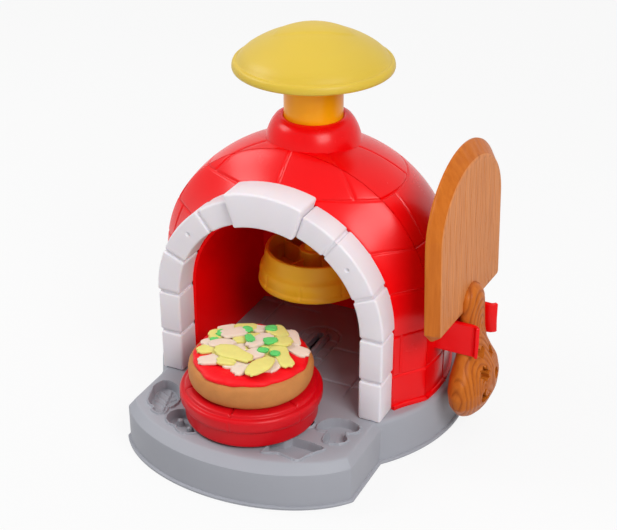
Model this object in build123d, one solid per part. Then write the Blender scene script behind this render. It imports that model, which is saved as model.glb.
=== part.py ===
from build123d import *
import os
from math import atan2, cos, degrees, hypot, pi, radians, sin, sqrt

# Toy pizza oven with a press, a sliding tray and a pizza peel held in a clip.
# Millimetres. X to the right, Y to the back, Z up. The origin is on the press axis, on the table.

# ---- base
DECK_Z = 29.5
DECK_THICK = 3.1
BASE_R = 102.5
BASE_TOP_R = 101.0
LIP_R = 104.5
LIP_H = 2.0
WALL = 3.0
APRON_HALF = 79.0
APRON_FRONT_Y = -85.6
APRON_NOSE = (87.5, 58.0)
APRON_BEVEL_Z = 24.7
APRON_BEVEL_SIDE = 5.5
APRON_BEVEL_FRONT = 8.5
SLOT_W = 5.0
SLOT_BACK_Y = 13.0
SLOT_FRONT_Y = -103.0
RIM_W = 11.0
RIM_H = 1.2
MOULD_DEPTH = 7.0

# ---- dome
DOME_Y = -9.0
DOME_R = 94.4
DOME_SPRING_Z = 95.0
DOME_RISE = 90.0
FRONT_CURVE = 1.3
SHELL = 2.5
SHELL_LIP = 1.5
SHELL_LIP_H = 3.0
SEAM_Y = -30.0

# ---- arch and oven liner
ARCH_FRONT_Y = -67.5
ARCH_BACK_Y = -50.0
ARCH_Z = 86.3
ARCH_IN = 62.2
ARCH_OUT = 78.0
LEG_OUT = 77.3
JOINT_ANGLES = (23.0, 53.0, 127.0, 157.0)
JOINT_HEIGHTS = (57.5, 86.3)
JOINT_W = 1.8
JOINT_DEEP = 1.0
KEY_HALF_ANGLE = 18.5
KEY_FRONT_Y = -71.5
KEY_IN = 61.4
KEY_OUT = 83.6
PEG_R = 2.4
PEG_LONG = 4.0
LINER_IN = 60.0
LINER_BACK_Y = 55.0
LINER_BACK_R = 175.0

# ---- press
KNOB_R = 50.0
KNOB_RIM_Z = 226.5
KNOB_EDGE_Z = 232.0
KNOB_TOP_Z = 253.0
KNOB_WALL = 2.6
STEM_R = 18.5
STEM_BORE_R = 16.0
STEM_LOW_Z = 187.0
STEM_TOP_Z = 239.0
ROD_R = 6.0
ROD_LOW_Z = 87.0
COLLAR_R = 31.0
COLLAR_TOP_Z = 196.0
COLLAR_LOW_Z = 152.0
NECK_R = 23.5
RING_LOW_Z = 173.2
RING_THICK = 1.5
FIT = 0.05
HEAD_LOW_Z = 80.5
HEAD_STEP_Z = 94.0
HEAD_TOP_Z = 104.0
HEAD_LOW_R = 36.0
HEAD_TOP_R = 30.8

# ---- tray and dough pizza
TRAY_Y = -89.0
TRAY_R = 44.2
TRAY_TOP_Z = 51.8
TRAY_BAND_Z = 42.0
TRAY_SPLIT_Z = 41.2
TRAY_WALL = 3.0
TRAY_FLOOR = 2.4
TRAY_FOOT_R = 41.5
TRAY_LOW_Z = 31.1
PLATE_R = 41.0
PLATE_TOP_Z = 54.0
PIZZA_R = 39.0
CRUST_TOP_Z = 70.5
SAUCE_R = 34.6
SAUCE_TOP_Z = 73.0
SHRED_H = 2.4

# ---- peel and its clip
# The peel is drawn flat: its face on local x = 0, its middle on y = 0, the face's lower edge on z = 0.
PEEL_AT = (110.0, -4.25, 90.0)
PEEL_LEAN = -1.7
PEEL_YAW = -2.4
BLADE_HALF = 46.5
BLADE_SIDE_H = 58.0
BLADE_CROWN_H = 38.4
BLADE_BEVEL = 7.5
BLADE_BEVEL_DEEP = 6.2
BLADE_THICK = 7.6
BLADE_CORNER = 9.0
PEEL_WALL = 2.6
HANDLE_BACK_X = -8.5
CLIP_LOW_Z = 63.0
CLIP_TOP_Z = 84.4
CLIP_ARM_GAP = 27.0
CLIP_ARM_THICK = 3.2
CLIP_TIP_X = 119.0

# ---- fasteners
SCREW_R = 1.45
SCREW_HEAD_R = 3.0
SCREW_HEAD_H = 2.0
SCREW_LONG = 14.0
BOSS_R = 4.0
BOSS_TOP_Z = 46.0
SHELL_SCREWS_FRONT = ((79.0, -38.0), (-79.0, -38.0))
SHELL_SCREWS_REAR = ((68.0, 32.0), (-68.0, 32.0), (0.0, 74.0))
LINER_SCREWS = ((65.6, 6.0), (-65.6, 6.0))

BIG = 400.0


def at_depth(y):
    """Upright drawing plane at depth y: its x is X and its y is Z."""
    return Plane.XZ.offset(-y)


def turned(points):
    """Solid of revolution about Z from a closed list of (radius, height) points."""
    face = make_face(Plane.XZ * Polyline(*points, close=True))
    return revolve(face, Axis.Z)


def upright_cylinder(radius, low, high, x=0.0, y=0.0):
    """Cylinder along Z between two heights."""
    return Pos(x, y, (low + high) / 2) * Cylinder(radius, high - low)


def block(x0, x1, y0, y1, z0, z1):
    """Box between two corners."""
    return Pos((x0 + x1) / 2, (y0 + y1) / 2, (z0 + z1) / 2) * Box(x1 - x0, y1 - y0, z1 - z0)


def prism(outline, low, high):
    """Flat outline in XY raised from one height to another."""
    return extrude(Pos(0, 0, low) * outline, high - low, dir=(0, 0, 1))


# ---------------------------------------------------------------- base

def apron_outline(side_inset, front_inset):
    """Plan of the apron: parallel sides that run back under the dome, and an elliptical nose."""
    half = APRON_HALF - side_inset
    nose_a = APRON_NOSE[0] - side_inset
    nose_b = APRON_NOSE[1] - front_inset
    strip = Pos(0, -BIG / 4) * Rectangle(2 * half, BIG / 2)
    nose = Pos(0, APRON_FRONT_Y) * Ellipse(nose_a, nose_b)
    back = Pos(0, APRON_FRONT_Y / 2) * Rectangle(2 * half, -APRON_FRONT_Y)
    return strip & (nose + back)


def apron_body(inset, drop):
    """Apron with its bevelled top edge, drawn in by inset and lowered by drop."""
    bevel_z = APRON_BEVEL_Z - drop
    lower = apron_outline(1.5 + inset, 1.5 + inset)
    upper = apron_outline(APRON_BEVEL_SIDE + inset, APRON_BEVEL_FRONT + inset)
    walls = prism(lower, 0, bevel_z)
    bevel = loft([Pos(0, 0, bevel_z) * lower, Pos(0, 0, DECK_Z - drop) * upper], ruled=True)
    return walls + bevel


def leaf_outline():
    """Basil leaf with a lobed edge and a stub of stalk."""
    tip = [(-68.5, -87), (-65.5, -83.3), (-60.5, -83.4), (-55, -86.3)]
    right = [(-50, -93.5), (-47.3, -99.5), (-47.5, -105.5), (-49.5, -109)]
    stalk = [(-48.6, -113.5), (-52, -116), (-56.3, -114.5), (-57.2, -111.3)]
    left = [(-62.7, -108.3), (-66, -102), (-67.6, -96.5), (-69.2, -92)]
    return make_face(Spline(*tip, *right, *stalk, *left, periodic=True))


def olive_outline():
    """Two olive rings side by side."""
    return Pos(-36.5, -114.7) * Circle(8.2) + Pos(-27.0, -119.4) * Circle(8.2)


def star_outline():
    """Five-pointed pepper slice with soft points."""
    points = [(25.2, -125.2), (34.3, -120.8), (48.2, -123.2), (51.3, -114.8), (57.8, -106),
              (46, -104.4), (35, -104.2), (33.2, -109.5), (22.5, -110.5), (27, -118)]
    star = make_face(Polyline(*points, close=True))
    return fillet(star.vertices(), 1.4)


def mushroom_outline():
    """Mushroom slice: a domed cap on a short stalk."""
    cap = [(46.3, -89.6), (44.3, -85.5), (46.2, -79), (52, -74.6), (60, -73.6), (66.6, -76.3),
           (68.4, -80.5), (65.3, -84.2)]
    stalk = [(61.8, -84.2), (63.2, -88.3), (66.2, -93.6), (61.3, -98), (54.6, -99.2),
             (52.6, -93.5), (52.4, -88.3)]
    return make_face(Spline(*cap, *stalk, periodic=True))


def petal_outline():
    """Small ham slice, mostly under the tray when the tray is out."""
    return Pos(31, -86) * Ellipse(9.6, 6.5)


def mould_outlines():
    """Every dough mould sunk in the apron."""
    return [leaf_outline(), olive_outline(), star_outline(), mushroom_outline(), petal_outline()]


def slot_outline(width, front, back):
    """Round-ended slot along Y."""
    return Pos(0, (front + back) / 2) * SlotOverall(back - front, width, rotation=90)


def base_shell():
    """Grey base: a round skirt with an apron in front, open underneath."""
    skirt = turned([(0, 0), (LIP_R, 0), (LIP_R, LIP_H), (BASE_R, LIP_H), (BASE_TOP_R + 0.2, 26.5),
                    (BASE_TOP_R - 0.6, 28.7), (BASE_TOP_R - 2.2, DECK_Z), (0, DECK_Z)])
    solid = skirt + apron_body(0, 0) + prism(apron_outline(0, 0), 0, LIP_H)
    under = DECK_Z - DECK_THICK
    hollow = upright_cylinder(BASE_TOP_R - WALL, -1, under)
    hollow += Pos(0, 0, -1) * apron_body(WALL, DECK_THICK - 1)
    solid -= hollow
    for x in (-22, 22):
        rib = block(x - 1, x + 1, -92, 92, 8, under + 1)
        solid += rib
    for outline in mould_outlines():
        box = outline.bounding_box()
        solid += block(box.min.X - 2, box.max.X + 2, box.min.Y - 2, box.max.Y + 2,
                       DECK_Z - MOULD_DEPTH - 2, under + 1) & apron_body(WALL / 2, 0)
    rim = slot_outline(RIM_W, SLOT_FRONT_Y - 3, SLOT_BACK_Y + 3)
    solid += prism(rim, DECK_Z - 1, DECK_Z + RIM_H)
    solid -= prism(slot_outline(SLOT_W, SLOT_FRONT_Y, SLOT_BACK_Y), under - 1, DECK_Z + RIM_H + 1)
    for outline in mould_outlines():
        solid -= prism(outline, DECK_Z - MOULD_DEPTH, DECK_Z + 1)
    for x, y in ((-36.5, -114.7), (-27.0, -119.4)):
        solid += upright_cylinder(1.7, DECK_Z - MOULD_DEPTH - 0.5, DECK_Z - 0.4, x, y)
    for x, y in SHELL_SCREWS_FRONT + SHELL_SCREWS_REAR + LINER_SCREWS:
        solid -= upright_cylinder(SCREW_R + 0.35, under - 1, DECK_Z + 1, x, y)
    return solid


# ---------------------------------------------------------------- dome

def dome_body(inset, low):
    """Solid dome: a plain wall under half an ellipsoid, drawn in by inset."""
    radius = DOME_R - inset
    rise = DOME_RISE - inset
    angles = [radians(a) for a in (0, 15, 30, 45, 60, 75)]
    crown = [(radius * cos(a), DOME_SPRING_Z + rise * sin(a)) for a in angles]
    crown.append((0, DOME_SPRING_Z + rise))
    curve = Spline(*crown, tangents=((0, 1), (-1, 0)))
    rest = Polyline((0, DOME_SPRING_Z + rise), (0, low), (radius, low), (radius, DOME_SPRING_Z))
    face = make_face(Plane.XZ * (curve + rest))
    return Pos(0, DOME_Y, 0) * revolve(face, Axis.Z)


def dome_reach(angle, depth):
    """Distance from the arch's centre to the dome's face, at an angle above the springing."""
    low = 0.0
    high = 2 * DOME_R
    for _ in range(40):
        reach = (low + high) / 2
        across = hypot(reach * cos(angle), depth) / DOME_R
        up = max(0.0, ARCH_Z + reach * sin(angle) - DOME_SPRING_Z) / DOME_RISE
        if across ** 2 + up ** 2 < 1:
            low = reach
        else:
            high = reach
    return reach


def front_section(y, inset, low):
    """Section of the front shell at depth y: the dome's outline blended towards the arch's."""
    blend = max(0.0, (SEAM_Y - y) / (SEAM_Y - ARCH_BACK_Y)) ** FRONT_CURVE
    depth = y - DOME_Y
    half = (1 - blend) * sqrt(DOME_R ** 2 - depth ** 2) + blend * ARCH_OUT - inset
    crown = []
    for step in range(1, 8):
        angle = pi * step / 8
        reach = (1 - blend) * dome_reach(angle, depth) + blend * ARCH_OUT - inset
        crown.append((reach * cos(angle), ARCH_Z + reach * sin(angle)))
    curve = Spline((half, ARCH_Z), *crown, (-half, ARCH_Z), tangents=((0, 1), (0, -1)))
    legs = Polyline((-half, ARCH_Z), (-half, low), (half, low), (half, ARCH_Z))
    return make_face(at_depth(y) * (curve + legs))


def front_body(inset, low, front, back):
    """Solid front bulge between two depths, drawn in by inset."""
    steps = 5
    depths = [back + (front - back) * i / (steps - 1) for i in range(steps)]
    return loft([front_section(y, inset, low) for y in depths])


def arch_hole(half, low, front, back):
    """Round-headed passage: straight sides and a half-round vault."""
    vault = Pos(0, ARCH_Z) * Circle(half) & Pos(0, ARCH_Z + BIG / 2) * Rectangle(BIG, BIG)
    passage = vault + Pos(0, (low + ARCH_Z) / 2) * Rectangle(2 * half, ARCH_Z - low)
    return extrude(at_depth(back) * passage, back - front)


def boss(x, y, top):
    """Screw post inside the dome, webbed out to the wall."""
    outward = degrees(atan2(y - DOME_Y, x))
    post = upright_cylinder(BOSS_R, DECK_Z, top, x, y)
    web = Pos(x, y, (DECK_Z + top) / 2) * Rot(0, 0, outward) * Pos(12, 0, 0) * Box(24, 3, top - DECK_Z)
    return post + web


def pilot(x, y):
    """Screw hole up into a post."""
    return upright_cylinder(SCREW_R + 0.05, DECK_Z - 1, DECK_Z + SCREW_LONG, x, y)


def front_shell():
    """Red front of the dome, with the flat flange that the arch trim is pegged to."""
    outer = front_body(0, DECK_Z, ARCH_BACK_Y, SEAM_Y)
    inner = front_body(SHELL, DECK_Z - 1, ARCH_BACK_Y + SHELL, SEAM_Y + 1)
    solid = outer - inner
    lip = front_body(-SHELL_LIP, DECK_Z, ARCH_BACK_Y, SEAM_Y) - outer
    solid += lip & block(-BIG, BIG, -BIG, BIG, DECK_Z, DECK_Z + SHELL_LIP_H)
    for x, y in SHELL_SCREWS_FRONT:
        solid += boss(x, y, BOSS_TOP_Z) & outer
    solid -= arch_hole(ARCH_IN + 0.2, DECK_Z - 1, ARCH_BACK_Y - 1, SEAM_Y + 1)
    for x, z in peg_places():
        solid -= at_depth(SEAM_Y) * Pos(x, z) * extrude(Circle(PEG_R + FIT), 25)
    for x, y in SHELL_SCREWS_FRONT:
        solid -= pilot(x, y)
    return solid


def rear_shell():
    """Red dome behind the seam, with the collar's hole in its crown."""
    keep = block(-BIG, BIG, SEAM_Y, BIG, DECK_Z, BIG)
    outer = dome_body(0, DECK_Z)
    solid = outer - dome_body(SHELL, DECK_Z - 1)
    lip = upright_cylinder(DOME_R + SHELL_LIP, DECK_Z, DECK_Z + SHELL_LIP_H, 0, DOME_Y)
    solid += lip - upright_cylinder(DOME_R - 1, DECK_Z - 1, DECK_Z + SHELL_LIP_H + 1, 0, DOME_Y)
    for x, y in SHELL_SCREWS_REAR:
        solid += boss(x, y, BOSS_TOP_Z) & outer
    solid &= keep
    solid -= upright_cylinder(NECK_R + 0.2, 160, 190)
    for x, y in SHELL_SCREWS_REAR:
        solid -= pilot(x, y)
    return solid


def oven_liner():
    """Red vaulted chamber inside the dome, open in front and below."""
    def chamber(half, back_r, front, low):
        drum = upright_cylinder(back_r, 0, 200, 0, LINER_BACK_Y - LINER_BACK_R)
        return arch_hole(half, low, front, LINER_BACK_Y + 10) & drum

    solid = chamber(ARCH_IN, LINER_BACK_R + ARCH_IN - LINER_IN, ARCH_BACK_Y, DECK_Z)
    for x, y in LINER_SCREWS:
        solid += upright_cylinder(BOSS_R, DECK_Z, BOSS_TOP_Z, x, y)
    solid -= chamber(LINER_IN, LINER_BACK_R, ARCH_BACK_Y - 1, DECK_Z - 1)
    solid -= upright_cylinder(12, 130, 160)
    for x, y in LINER_SCREWS:
        solid -= pilot(x, y)
    return solid


# ---------------------------------------------------------------- arch trim

def arch_ring(inset, front):
    """Round-headed frame around the mouth of the oven."""
    outline = Pos(0, ARCH_Z) * Circle(ARCH_OUT - inset)
    outline &= Pos(0, ARCH_Z + BIG / 2) * Rectangle(BIG, BIG)
    outline += Pos(0, (DECK_Z + ARCH_Z) / 2) * Rectangle(2 * (LEG_OUT - inset), ARCH_Z - DECK_Z)
    ring = extrude(at_depth(ARCH_BACK_Y) * outline, ARCH_BACK_Y - front)
    return ring - arch_hole(ARCH_IN + inset, DECK_Z - 1, front - 1, ARCH_BACK_Y + 1)


def joint_slabs():
    """Thin cutters where one stone of the arch meets the next."""
    reach = (ARCH_IN + ARCH_OUT) / 2
    slab = Box(24, 60, JOINT_W)
    slabs = [Pos(side * reach, ARCH_FRONT_Y, z) * slab for side in (-1, 1) for z in JOINT_HEIGHTS]
    for angle in JOINT_ANGLES:
        slabs.append(Pos(0, ARCH_FRONT_Y, ARCH_Z) * Rot(0, -angle, 0) * Pos(reach, 0, 0) * slab)
    return slabs


def keystone():
    """Proud middle stone of the arch."""
    half = radians(KEY_HALF_ANGLE)
    wedge = make_face(Polyline((0, 0), (120 * sin(-half), 120 * cos(half)),
                               (120 * sin(half), 120 * cos(half)), close=True))
    face = (Circle(KEY_OUT) - Circle(KEY_IN)) & wedge
    return extrude(at_depth(ARCH_BACK_Y) * Pos(0, ARCH_Z) * face, ARCH_BACK_Y - KEY_FRONT_Y)


def peg_places():
    """(X, Z) of the pegs behind the arch trim."""
    middle = (ARCH_IN + ARCH_OUT) / 2 - 1.2
    crown = [(middle * cos(radians(a)), ARCH_Z + middle * sin(radians(a))) for a in (35, 90, 145)]
    return crown + [(-middle, 45), (middle, 45)]


def arch_trim():
    """White arch of stones around the mouth."""
    solid = arch_ring(0, ARCH_FRONT_Y)
    skin = solid - arch_ring(JOINT_DEEP, ARCH_FRONT_Y + JOINT_DEEP)
    for slab in joint_slabs():
        solid -= slab & skin
    solid += keystone()
    for angle in (40, 140):
        x = 70 * cos(radians(angle))
        z = ARCH_Z + 70 * sin(radians(angle))
        solid -= at_depth(ARCH_FRONT_Y + 0.8) * Pos(x, z) * extrude(Circle(1.6), 5)
    for x, z in peg_places():
        solid += at_depth(ARCH_BACK_Y + PEG_LONG) * Pos(x, z) * extrude(Circle(PEG_R), PEG_LONG + 2)
    return solid


# ---------------------------------------------------------------- press

def press_collar():
    """Red collar on the crown: guides the stem and carries the spring."""
    top = COLLAR_TOP_Z
    low = 168
    bulge = turned([(0, low), (COLLAR_R, low), (COLLAR_R, top - 19.5), (COLLAR_R - 0.8, top - 15.5),
                    (COLLAR_R - 2.3, top - 11.5), (COLLAR_R - 4.6, top - 6.5), (COLLAR_R - 7, top - 2.4),
                    (COLLAR_R - 8.8, top - 0.6), (COLLAR_R - 10.6, top), (0, top)])
    solid = bulge - dome_body(0, DECK_Z)
    solid += upright_cylinder(NECK_R, COLLAR_LOW_Z, top)
    solid -= upright_cylinder(STEM_R + FIT, COLLAR_LOW_Z + 3.5, top + 1)
    solid -= upright_cylinder(ROD_R + FIT, COLLAR_LOW_Z - 1, top)
    low = RING_LOW_Z - FIT
    high = RING_LOW_Z + RING_THICK + FIT
    groove = upright_cylinder(NECK_R + 1, low, high) - upright_cylinder(NECK_R - 1, low - 1, high + 1)
    return solid - groove


def collar_ring():
    """Snap ring that holds the collar under the dome."""
    low = RING_LOW_Z
    high = RING_LOW_Z + RING_THICK
    ring = upright_cylinder(NECK_R + 4, low, high) - upright_cylinder(NECK_R - 0.9, low - 1, high + 1)
    return ring - block(0, BIG, -4, 4, low - 1, high + 1)


def press_knob():
    """Yellow mushroom top of the press."""
    low = KNOB_RIM_Z
    top = KNOB_TOP_Z
    slope = ((47.4, 0.0), (42.0, 5.3), (34.0, 10.7), (24.0, 15.6), (12.0, 19.8))

    def cap(inset, base):
        points = [(r - inset, KNOB_EDGE_Z + rise - inset / 2) for r, rise in slope]
        crown = top - inset
        curve = Spline(*points, (0, crown), tangents=((-0.66, 0.75), (-1, 0)))
        side = Polyline((0, crown), (0, base), (KNOB_R - 0.8 - inset, base), (KNOB_R - inset, base + 1.5),
                        (KNOB_R - 0.5 - inset, KNOB_EDGE_Z - 2 - inset / 2), points[0])
        return revolve(make_face(Plane.XZ * (curve + side)), Axis.Z)

    solid = cap(0, low) - cap(KNOB_WALL, low - 1)
    roof = cap(KNOB_WALL / 2, low)
    for x, y in knob_screw_places():
        solid += upright_cylinder(BOSS_R, STEM_TOP_Z, top, x, y) & roof
    for x, y in knob_screw_places():
        solid -= upright_cylinder(SCREW_R + 0.05, STEM_TOP_Z - 1, STEM_TOP_Z + 6, x, y)
    return solid


def knob_screw_places():
    """Screws through the stem's flange, on a circle."""
    return [(23.5 * cos(radians(a)), 23.5 * sin(radians(a))) for a in (30, 150, 270)]


def press_stem():
    """Yellow plunger: a tube that runs in the collar and a rod that carries the press head."""
    flange = upright_cylinder(29, STEM_TOP_Z - 2.5, STEM_TOP_Z)
    tube = upright_cylinder(STEM_R, STEM_LOW_Z, STEM_TOP_Z)
    tube -= upright_cylinder(STEM_BORE_R, STEM_LOW_Z - 1, STEM_TOP_Z - 2.5)
    solid = flange + tube + upright_cylinder(ROD_R, ROD_LOW_Z, STEM_TOP_Z)
    solid -= upright_cylinder(ROD_R + 1, 150.2, 151.6) - upright_cylinder(ROD_R - 1.2, 150, 152)
    solid -= upright_cylinder(SCREW_R + 0.05, ROD_LOW_Z - 1, ROD_LOW_Z + 12)
    for x, y in knob_screw_places():
        solid -= upright_cylinder(SCREW_R + 0.35, STEM_TOP_Z - 4, STEM_TOP_Z + 1, x, y)
    return solid


def knob_screws():
    """Three screws that hold the knob on the stem."""
    seat = STEM_TOP_Z - 2.5
    screws = [screw(x, y, seat, 8.0) for x, y in knob_screw_places()]
    return Compound(children=screws)


def stop_clip():
    """Snap washer on the rod: it stops the press at the top of its stroke."""
    ring = upright_cylinder(9.5, 150.3, 151.5) - upright_cylinder(ROD_R - 1.1, 150, 152)
    return ring - block(0, BIG, -3.5, 3.5, 140, 160)


def press_spring():
    """Return spring around the rod, inside the stem."""
    low = COLLAR_LOW_Z + 3.5
    high = STEM_TOP_Z - 2.5
    wire = 0.8
    mean = 11.0
    path = Helix(pitch=(high - low - 2 * wire) / 9, height=high - low - 2 * wire - 0.1, radius=mean)
    start = Plane(origin=path @ 0, z_dir=path % 0)
    return Pos(0, 0, low + wire + 0.05) * sweep(start * Circle(wire), path=path)


def press_head():
    """Yellow press plate: an open-topped cup with radial ribs around the rod's socket."""
    low = HEAD_LOW_Z
    step = HEAD_STEP_Z
    top = HEAD_TOP_Z
    outer = turned([(0, low), (HEAD_LOW_R - 0.6, low), (HEAD_LOW_R, low + 1.5), (34.6, step - 0.8),
                    (33.4, step), (31.8, top - 4), (HEAD_TOP_R + 0.2, top), (0, top)])
    inner = turned([(0, low + 3), (HEAD_LOW_R - 3, low + 3), (31.8, step), (28.6, top + 1), (0, top + 1)])
    solid = outer - inner
    for index in range(8):
        rib = Rot(0, 0, 22.5 + 45 * index) * block(4, 31, -0.8, 0.8, low + 1, top - 3)
        solid += rib & outer
    solid += upright_cylinder(ROD_R + 3, low + 1, top - 1)
    solid -= upright_cylinder(ROD_R, ROD_LOW_Z, top + 5)
    solid -= upright_cylinder(SCREW_R + 0.35, low - 1, ROD_LOW_Z + 1)
    solid -= upright_cylinder(SCREW_HEAD_R + 0.3, low - 1, low + 2.5)
    ring = upright_cylinder(31, low - 1, low + 1.2) - upright_cylinder(27, low - 2, low + 2)
    return solid - ring


# ---------------------------------------------------------------- tray

def tray_dish():
    """Red tray top: a bulged band under a raised brick plate, ribbed inside, with a post for its screw."""
    top = TRAY_TOP_Z
    split = TRAY_SPLIT_Z
    inner_r = TRAY_FOOT_R - TRAY_WALL
    outer = turned([(0, split), (TRAY_FOOT_R, split), (TRAY_R - 0.8, TRAY_BAND_Z), (TRAY_R, TRAY_BAND_Z + 2),
                    (TRAY_R, top - 3), (TRAY_R - 0.9, top - 0.9), (TRAY_R - 3, top), (PLATE_R, top),
                    (PLATE_R - 0.7, PLATE_TOP_Z), (0, PLATE_TOP_Z)])
    solid = outer - upright_cylinder(inner_r, split - 1, PLATE_TOP_Z - TRAY_WALL)
    solid += upright_cylinder(7, TRAY_LOW_Z + TRAY_FLOOR, PLATE_TOP_Z - 1)
    for x in (-12, 12):
        solid += block(x - 1, x + 1, -inner_r + 2, inner_r - 2, split, PLATE_TOP_Z - 1)
    solid -= upright_cylinder(SCREW_R + 0.05, TRAY_LOW_Z, TRAY_LOW_Z + 11)
    return Pos(0, TRAY_Y, 0) * solid


def tray_foot():
    """Narrower red foot that closes the tray from below."""
    low = TRAY_LOW_Z
    outer = turned([(0, low), (TRAY_FOOT_R - 0.5, low), (TRAY_FOOT_R, TRAY_SPLIT_Z), (0, TRAY_SPLIT_Z)])
    solid = outer - upright_cylinder(TRAY_FOOT_R - TRAY_WALL, low + TRAY_FLOOR, TRAY_SPLIT_Z + 1)
    solid -= upright_cylinder(SCREW_R + 0.25, low - 1, low + TRAY_FLOOR + 1)
    return Pos(0, TRAY_Y, 0) * solid


def tray_slider():
    """Grey runner under the deck; its neck rides in the slot."""
    under = DECK_Z - DECK_THICK
    neck = block(-SLOT_W / 2 + FIT * 2, SLOT_W / 2 - FIT * 2, -9, 9, under - 2, TRAY_LOW_Z)
    foot = block(-9, 9, -14, 14, under - 3.4, under - 0.3)
    hole = upright_cylinder(SCREW_R + 0.25, 0, 40)
    return Pos(0, TRAY_Y, 0) * (neck + foot - hole)


# ---------------------------------------------------------------- dough pizza

def pizza_crust():
    """Thick disc of dough with a rounded rim."""
    low = PLATE_TOP_Z + 0.1
    top = CRUST_TOP_Z
    r = PIZZA_R
    return Pos(0, TRAY_Y, 0) * turned([(0, low), (r - 4.5, low), (r - 1.8, low + 2.2), (r - 0.4, low + 5.5),
                                       (r, (low + top) / 2), (r - 0.3, top - 3.5), (r - 1.6, top - 0.9),
                                       (r - 3.2, top), (0, top)])


def pizza_sauce():
    """Thin red disc of dough with a wavy edge."""
    points = []
    for step in range(24):
        angle = 2 * pi * step / 24
        reach = SAUCE_R + 0.8 * sin(3 * angle) + 0.5 * cos(7 * angle)
        points.append((reach * cos(angle), reach * sin(angle)))
    outline = make_face(Spline(*points, periodic=True))
    return Pos(0, TRAY_Y, 0) * prism(outline, CRUST_TOP_Z, SAUCE_TOP_Z)


def shred(radius, angle, level, long, wide):
    """Flat oval shred of dough, laid round the pizza on the sauce or on the layer below."""
    turn = Rot(0, 0, angle) * Pos(radius, 0, SAUCE_TOP_Z + level * SHRED_H) * Rot(0, 0, 90)
    return Pos(0, TRAY_Y, 0) * turn * extrude(Ellipse(long / 2, wide / 2), SHRED_H)


def topping(colour):
    """Dough shreds of one colour: three rings on the sauce, a ring bridging them, and small bits on top."""
    layout = ((0, 0.0, 1, 12.0, 8.5), (0, 12.5, 6, 12.0, 8.5), (0, 25.0, 12, 12.0, 8.5),
              (1, 18.8, 8, 13.0, 9.0))
    shreds = []
    for level, radius, number, long, wide in layout:
        for step in range(number):
            if (step + level) % 2 == colour:
                shreds.append(shred(radius, 360 * step / number + 12 * level, level, long, wide))
    return Compound(children=shreds)


def topping_green():
    """Small green dough bits on the shreds."""
    places = [(6.5, 360 * step / 3 + 20, 1) for step in range(3)]
    places += [(28.0, 360 * step / 5, 1) for step in range(5)]
    return Compound(children=[shred(radius, angle, level, 4.6, 3.6) for radius, angle, level in places])


# ---------------------------------------------------------------- peel and clip

def blade_outline(grow):
    """Peel blade seen from its face: square below, rounded above, with the lower corners cut."""
    half = BLADE_HALF + grow
    low = -grow * 0.65
    cut = max(0.6, BLADE_CORNER * grow / BLADE_BEVEL)
    square = make_face(Polyline((-half, BLADE_SIDE_H), (-half, low + cut), (cut - half, low),
                                (half - cut, low), (half, low + cut), (half, BLADE_SIDE_H), close=True))
    crown = Pos(0, BLADE_SIDE_H) * Ellipse(half, BLADE_CROWN_H + 1.25 * grow)
    return square + crown


def handle_body(inset):
    """Handle as a smooth loft of ovals from the neck's hump down to the bulb's foot."""
    rows = ((-75.5, 2.5, 3.6, 8.5), (-70.0, 3.0, 9.0, 20.6), (-62.0, 3.3, 12.2, 27.6),
            (-53.8, 3.3, 13.0, 29.6), (-45.0, 3.2, 12.0, 27.0), (-36.0, 2.6, 9.6, 20.6),
            (-27.0, 1.9, 7.4, 15.2), (-18.0, 1.4, 6.4, 13.0), (-6.0, 1.2, 6.2, 12.4),
            (8.0, 0.8, 5.8, 11.6), (15.0, 0.3, 4.6, 8.6), (18.0, -0.4, 2.2, 4.6))
    ovals = []
    for z, x, thick, wide in rows:
        ovals.append(Pos(x, 0, z) * Ellipse(max(1.0, thick - inset), max(1.5, wide - inset)))
    return loft(ovals)


def heart_outline(size):
    """Heart with its point down."""
    lobes = Pos(-size / 2, 0) * Circle(size * 0.62) + Pos(size / 2, 0) * Circle(size * 0.62)
    point = make_face(Polyline((-1.05 * size, -0.3 * size), (1.05 * size, -0.3 * size),
                               (0, -1.6 * size), close=True))
    return lobes + point


def star_cut(size, points):
    """Small star with straight-sided points."""
    rim = []
    for step in range(2 * points):
        reach = size if step % 2 == 0 else size * 0.68
        rim.append((reach * cos(pi * step / points), reach * sin(pi * step / points)))
    return make_face(Polyline(*rim, close=True))


def crescent_outline(size):
    """Crescent moon, open upwards."""
    return Circle(size) - Pos(-0.25 * size, 0.75 * size) * Circle(0.85 * size)


def pizza_peel():
    """Wood-coloured peel: a hollow-backed blade with a scooped cutter handle."""
    side = Plane.YZ
    flat = extrude(side.offset(-BLADE_THICK) * blade_outline(BLADE_BEVEL), BLADE_THICK - BLADE_BEVEL_DEEP)
    bevel = loft([side.offset(-BLADE_BEVEL_DEEP) * blade_outline(BLADE_BEVEL), side * blade_outline(0)],
                 ruled=True)
    hollow = extrude(side.offset(-BLADE_THICK - 1) * blade_outline(-1.5), BLADE_THICK + 1 - PEEL_WALL)
    front = block(HANDLE_BACK_X, BIG, -BIG, BIG, -BIG, 0) + block(-1, BIG, -BIG, BIG, -BIG, BIG)
    handle = handle_body(0) & front
    scoop = handle_body(PEEL_WALL) & block(-BIG, BIG, -BIG, BIG, -BIG, -24)
    solid = flat + bevel - hollow + handle - scoop
    cutters = ((-8.0, -26.5, heart_outline(2.8)), (-8.5, -42.5, star_cut(5.0, 8)),
               (-7.0, -59.0, crescent_outline(4.4)), (8.0, -34.0, star_cut(4.0, 4)), (9.0, -51.0, Circle(3.6)))
    for y, z, outline in cutters:
        solid -= extrude(side * Pos(y, z) * outline, 40)
    return Pos(*PEEL_AT) * Rot(0, PEEL_LEAN, 0) * Rot(0, 0, PEEL_YAW) * solid


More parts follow.
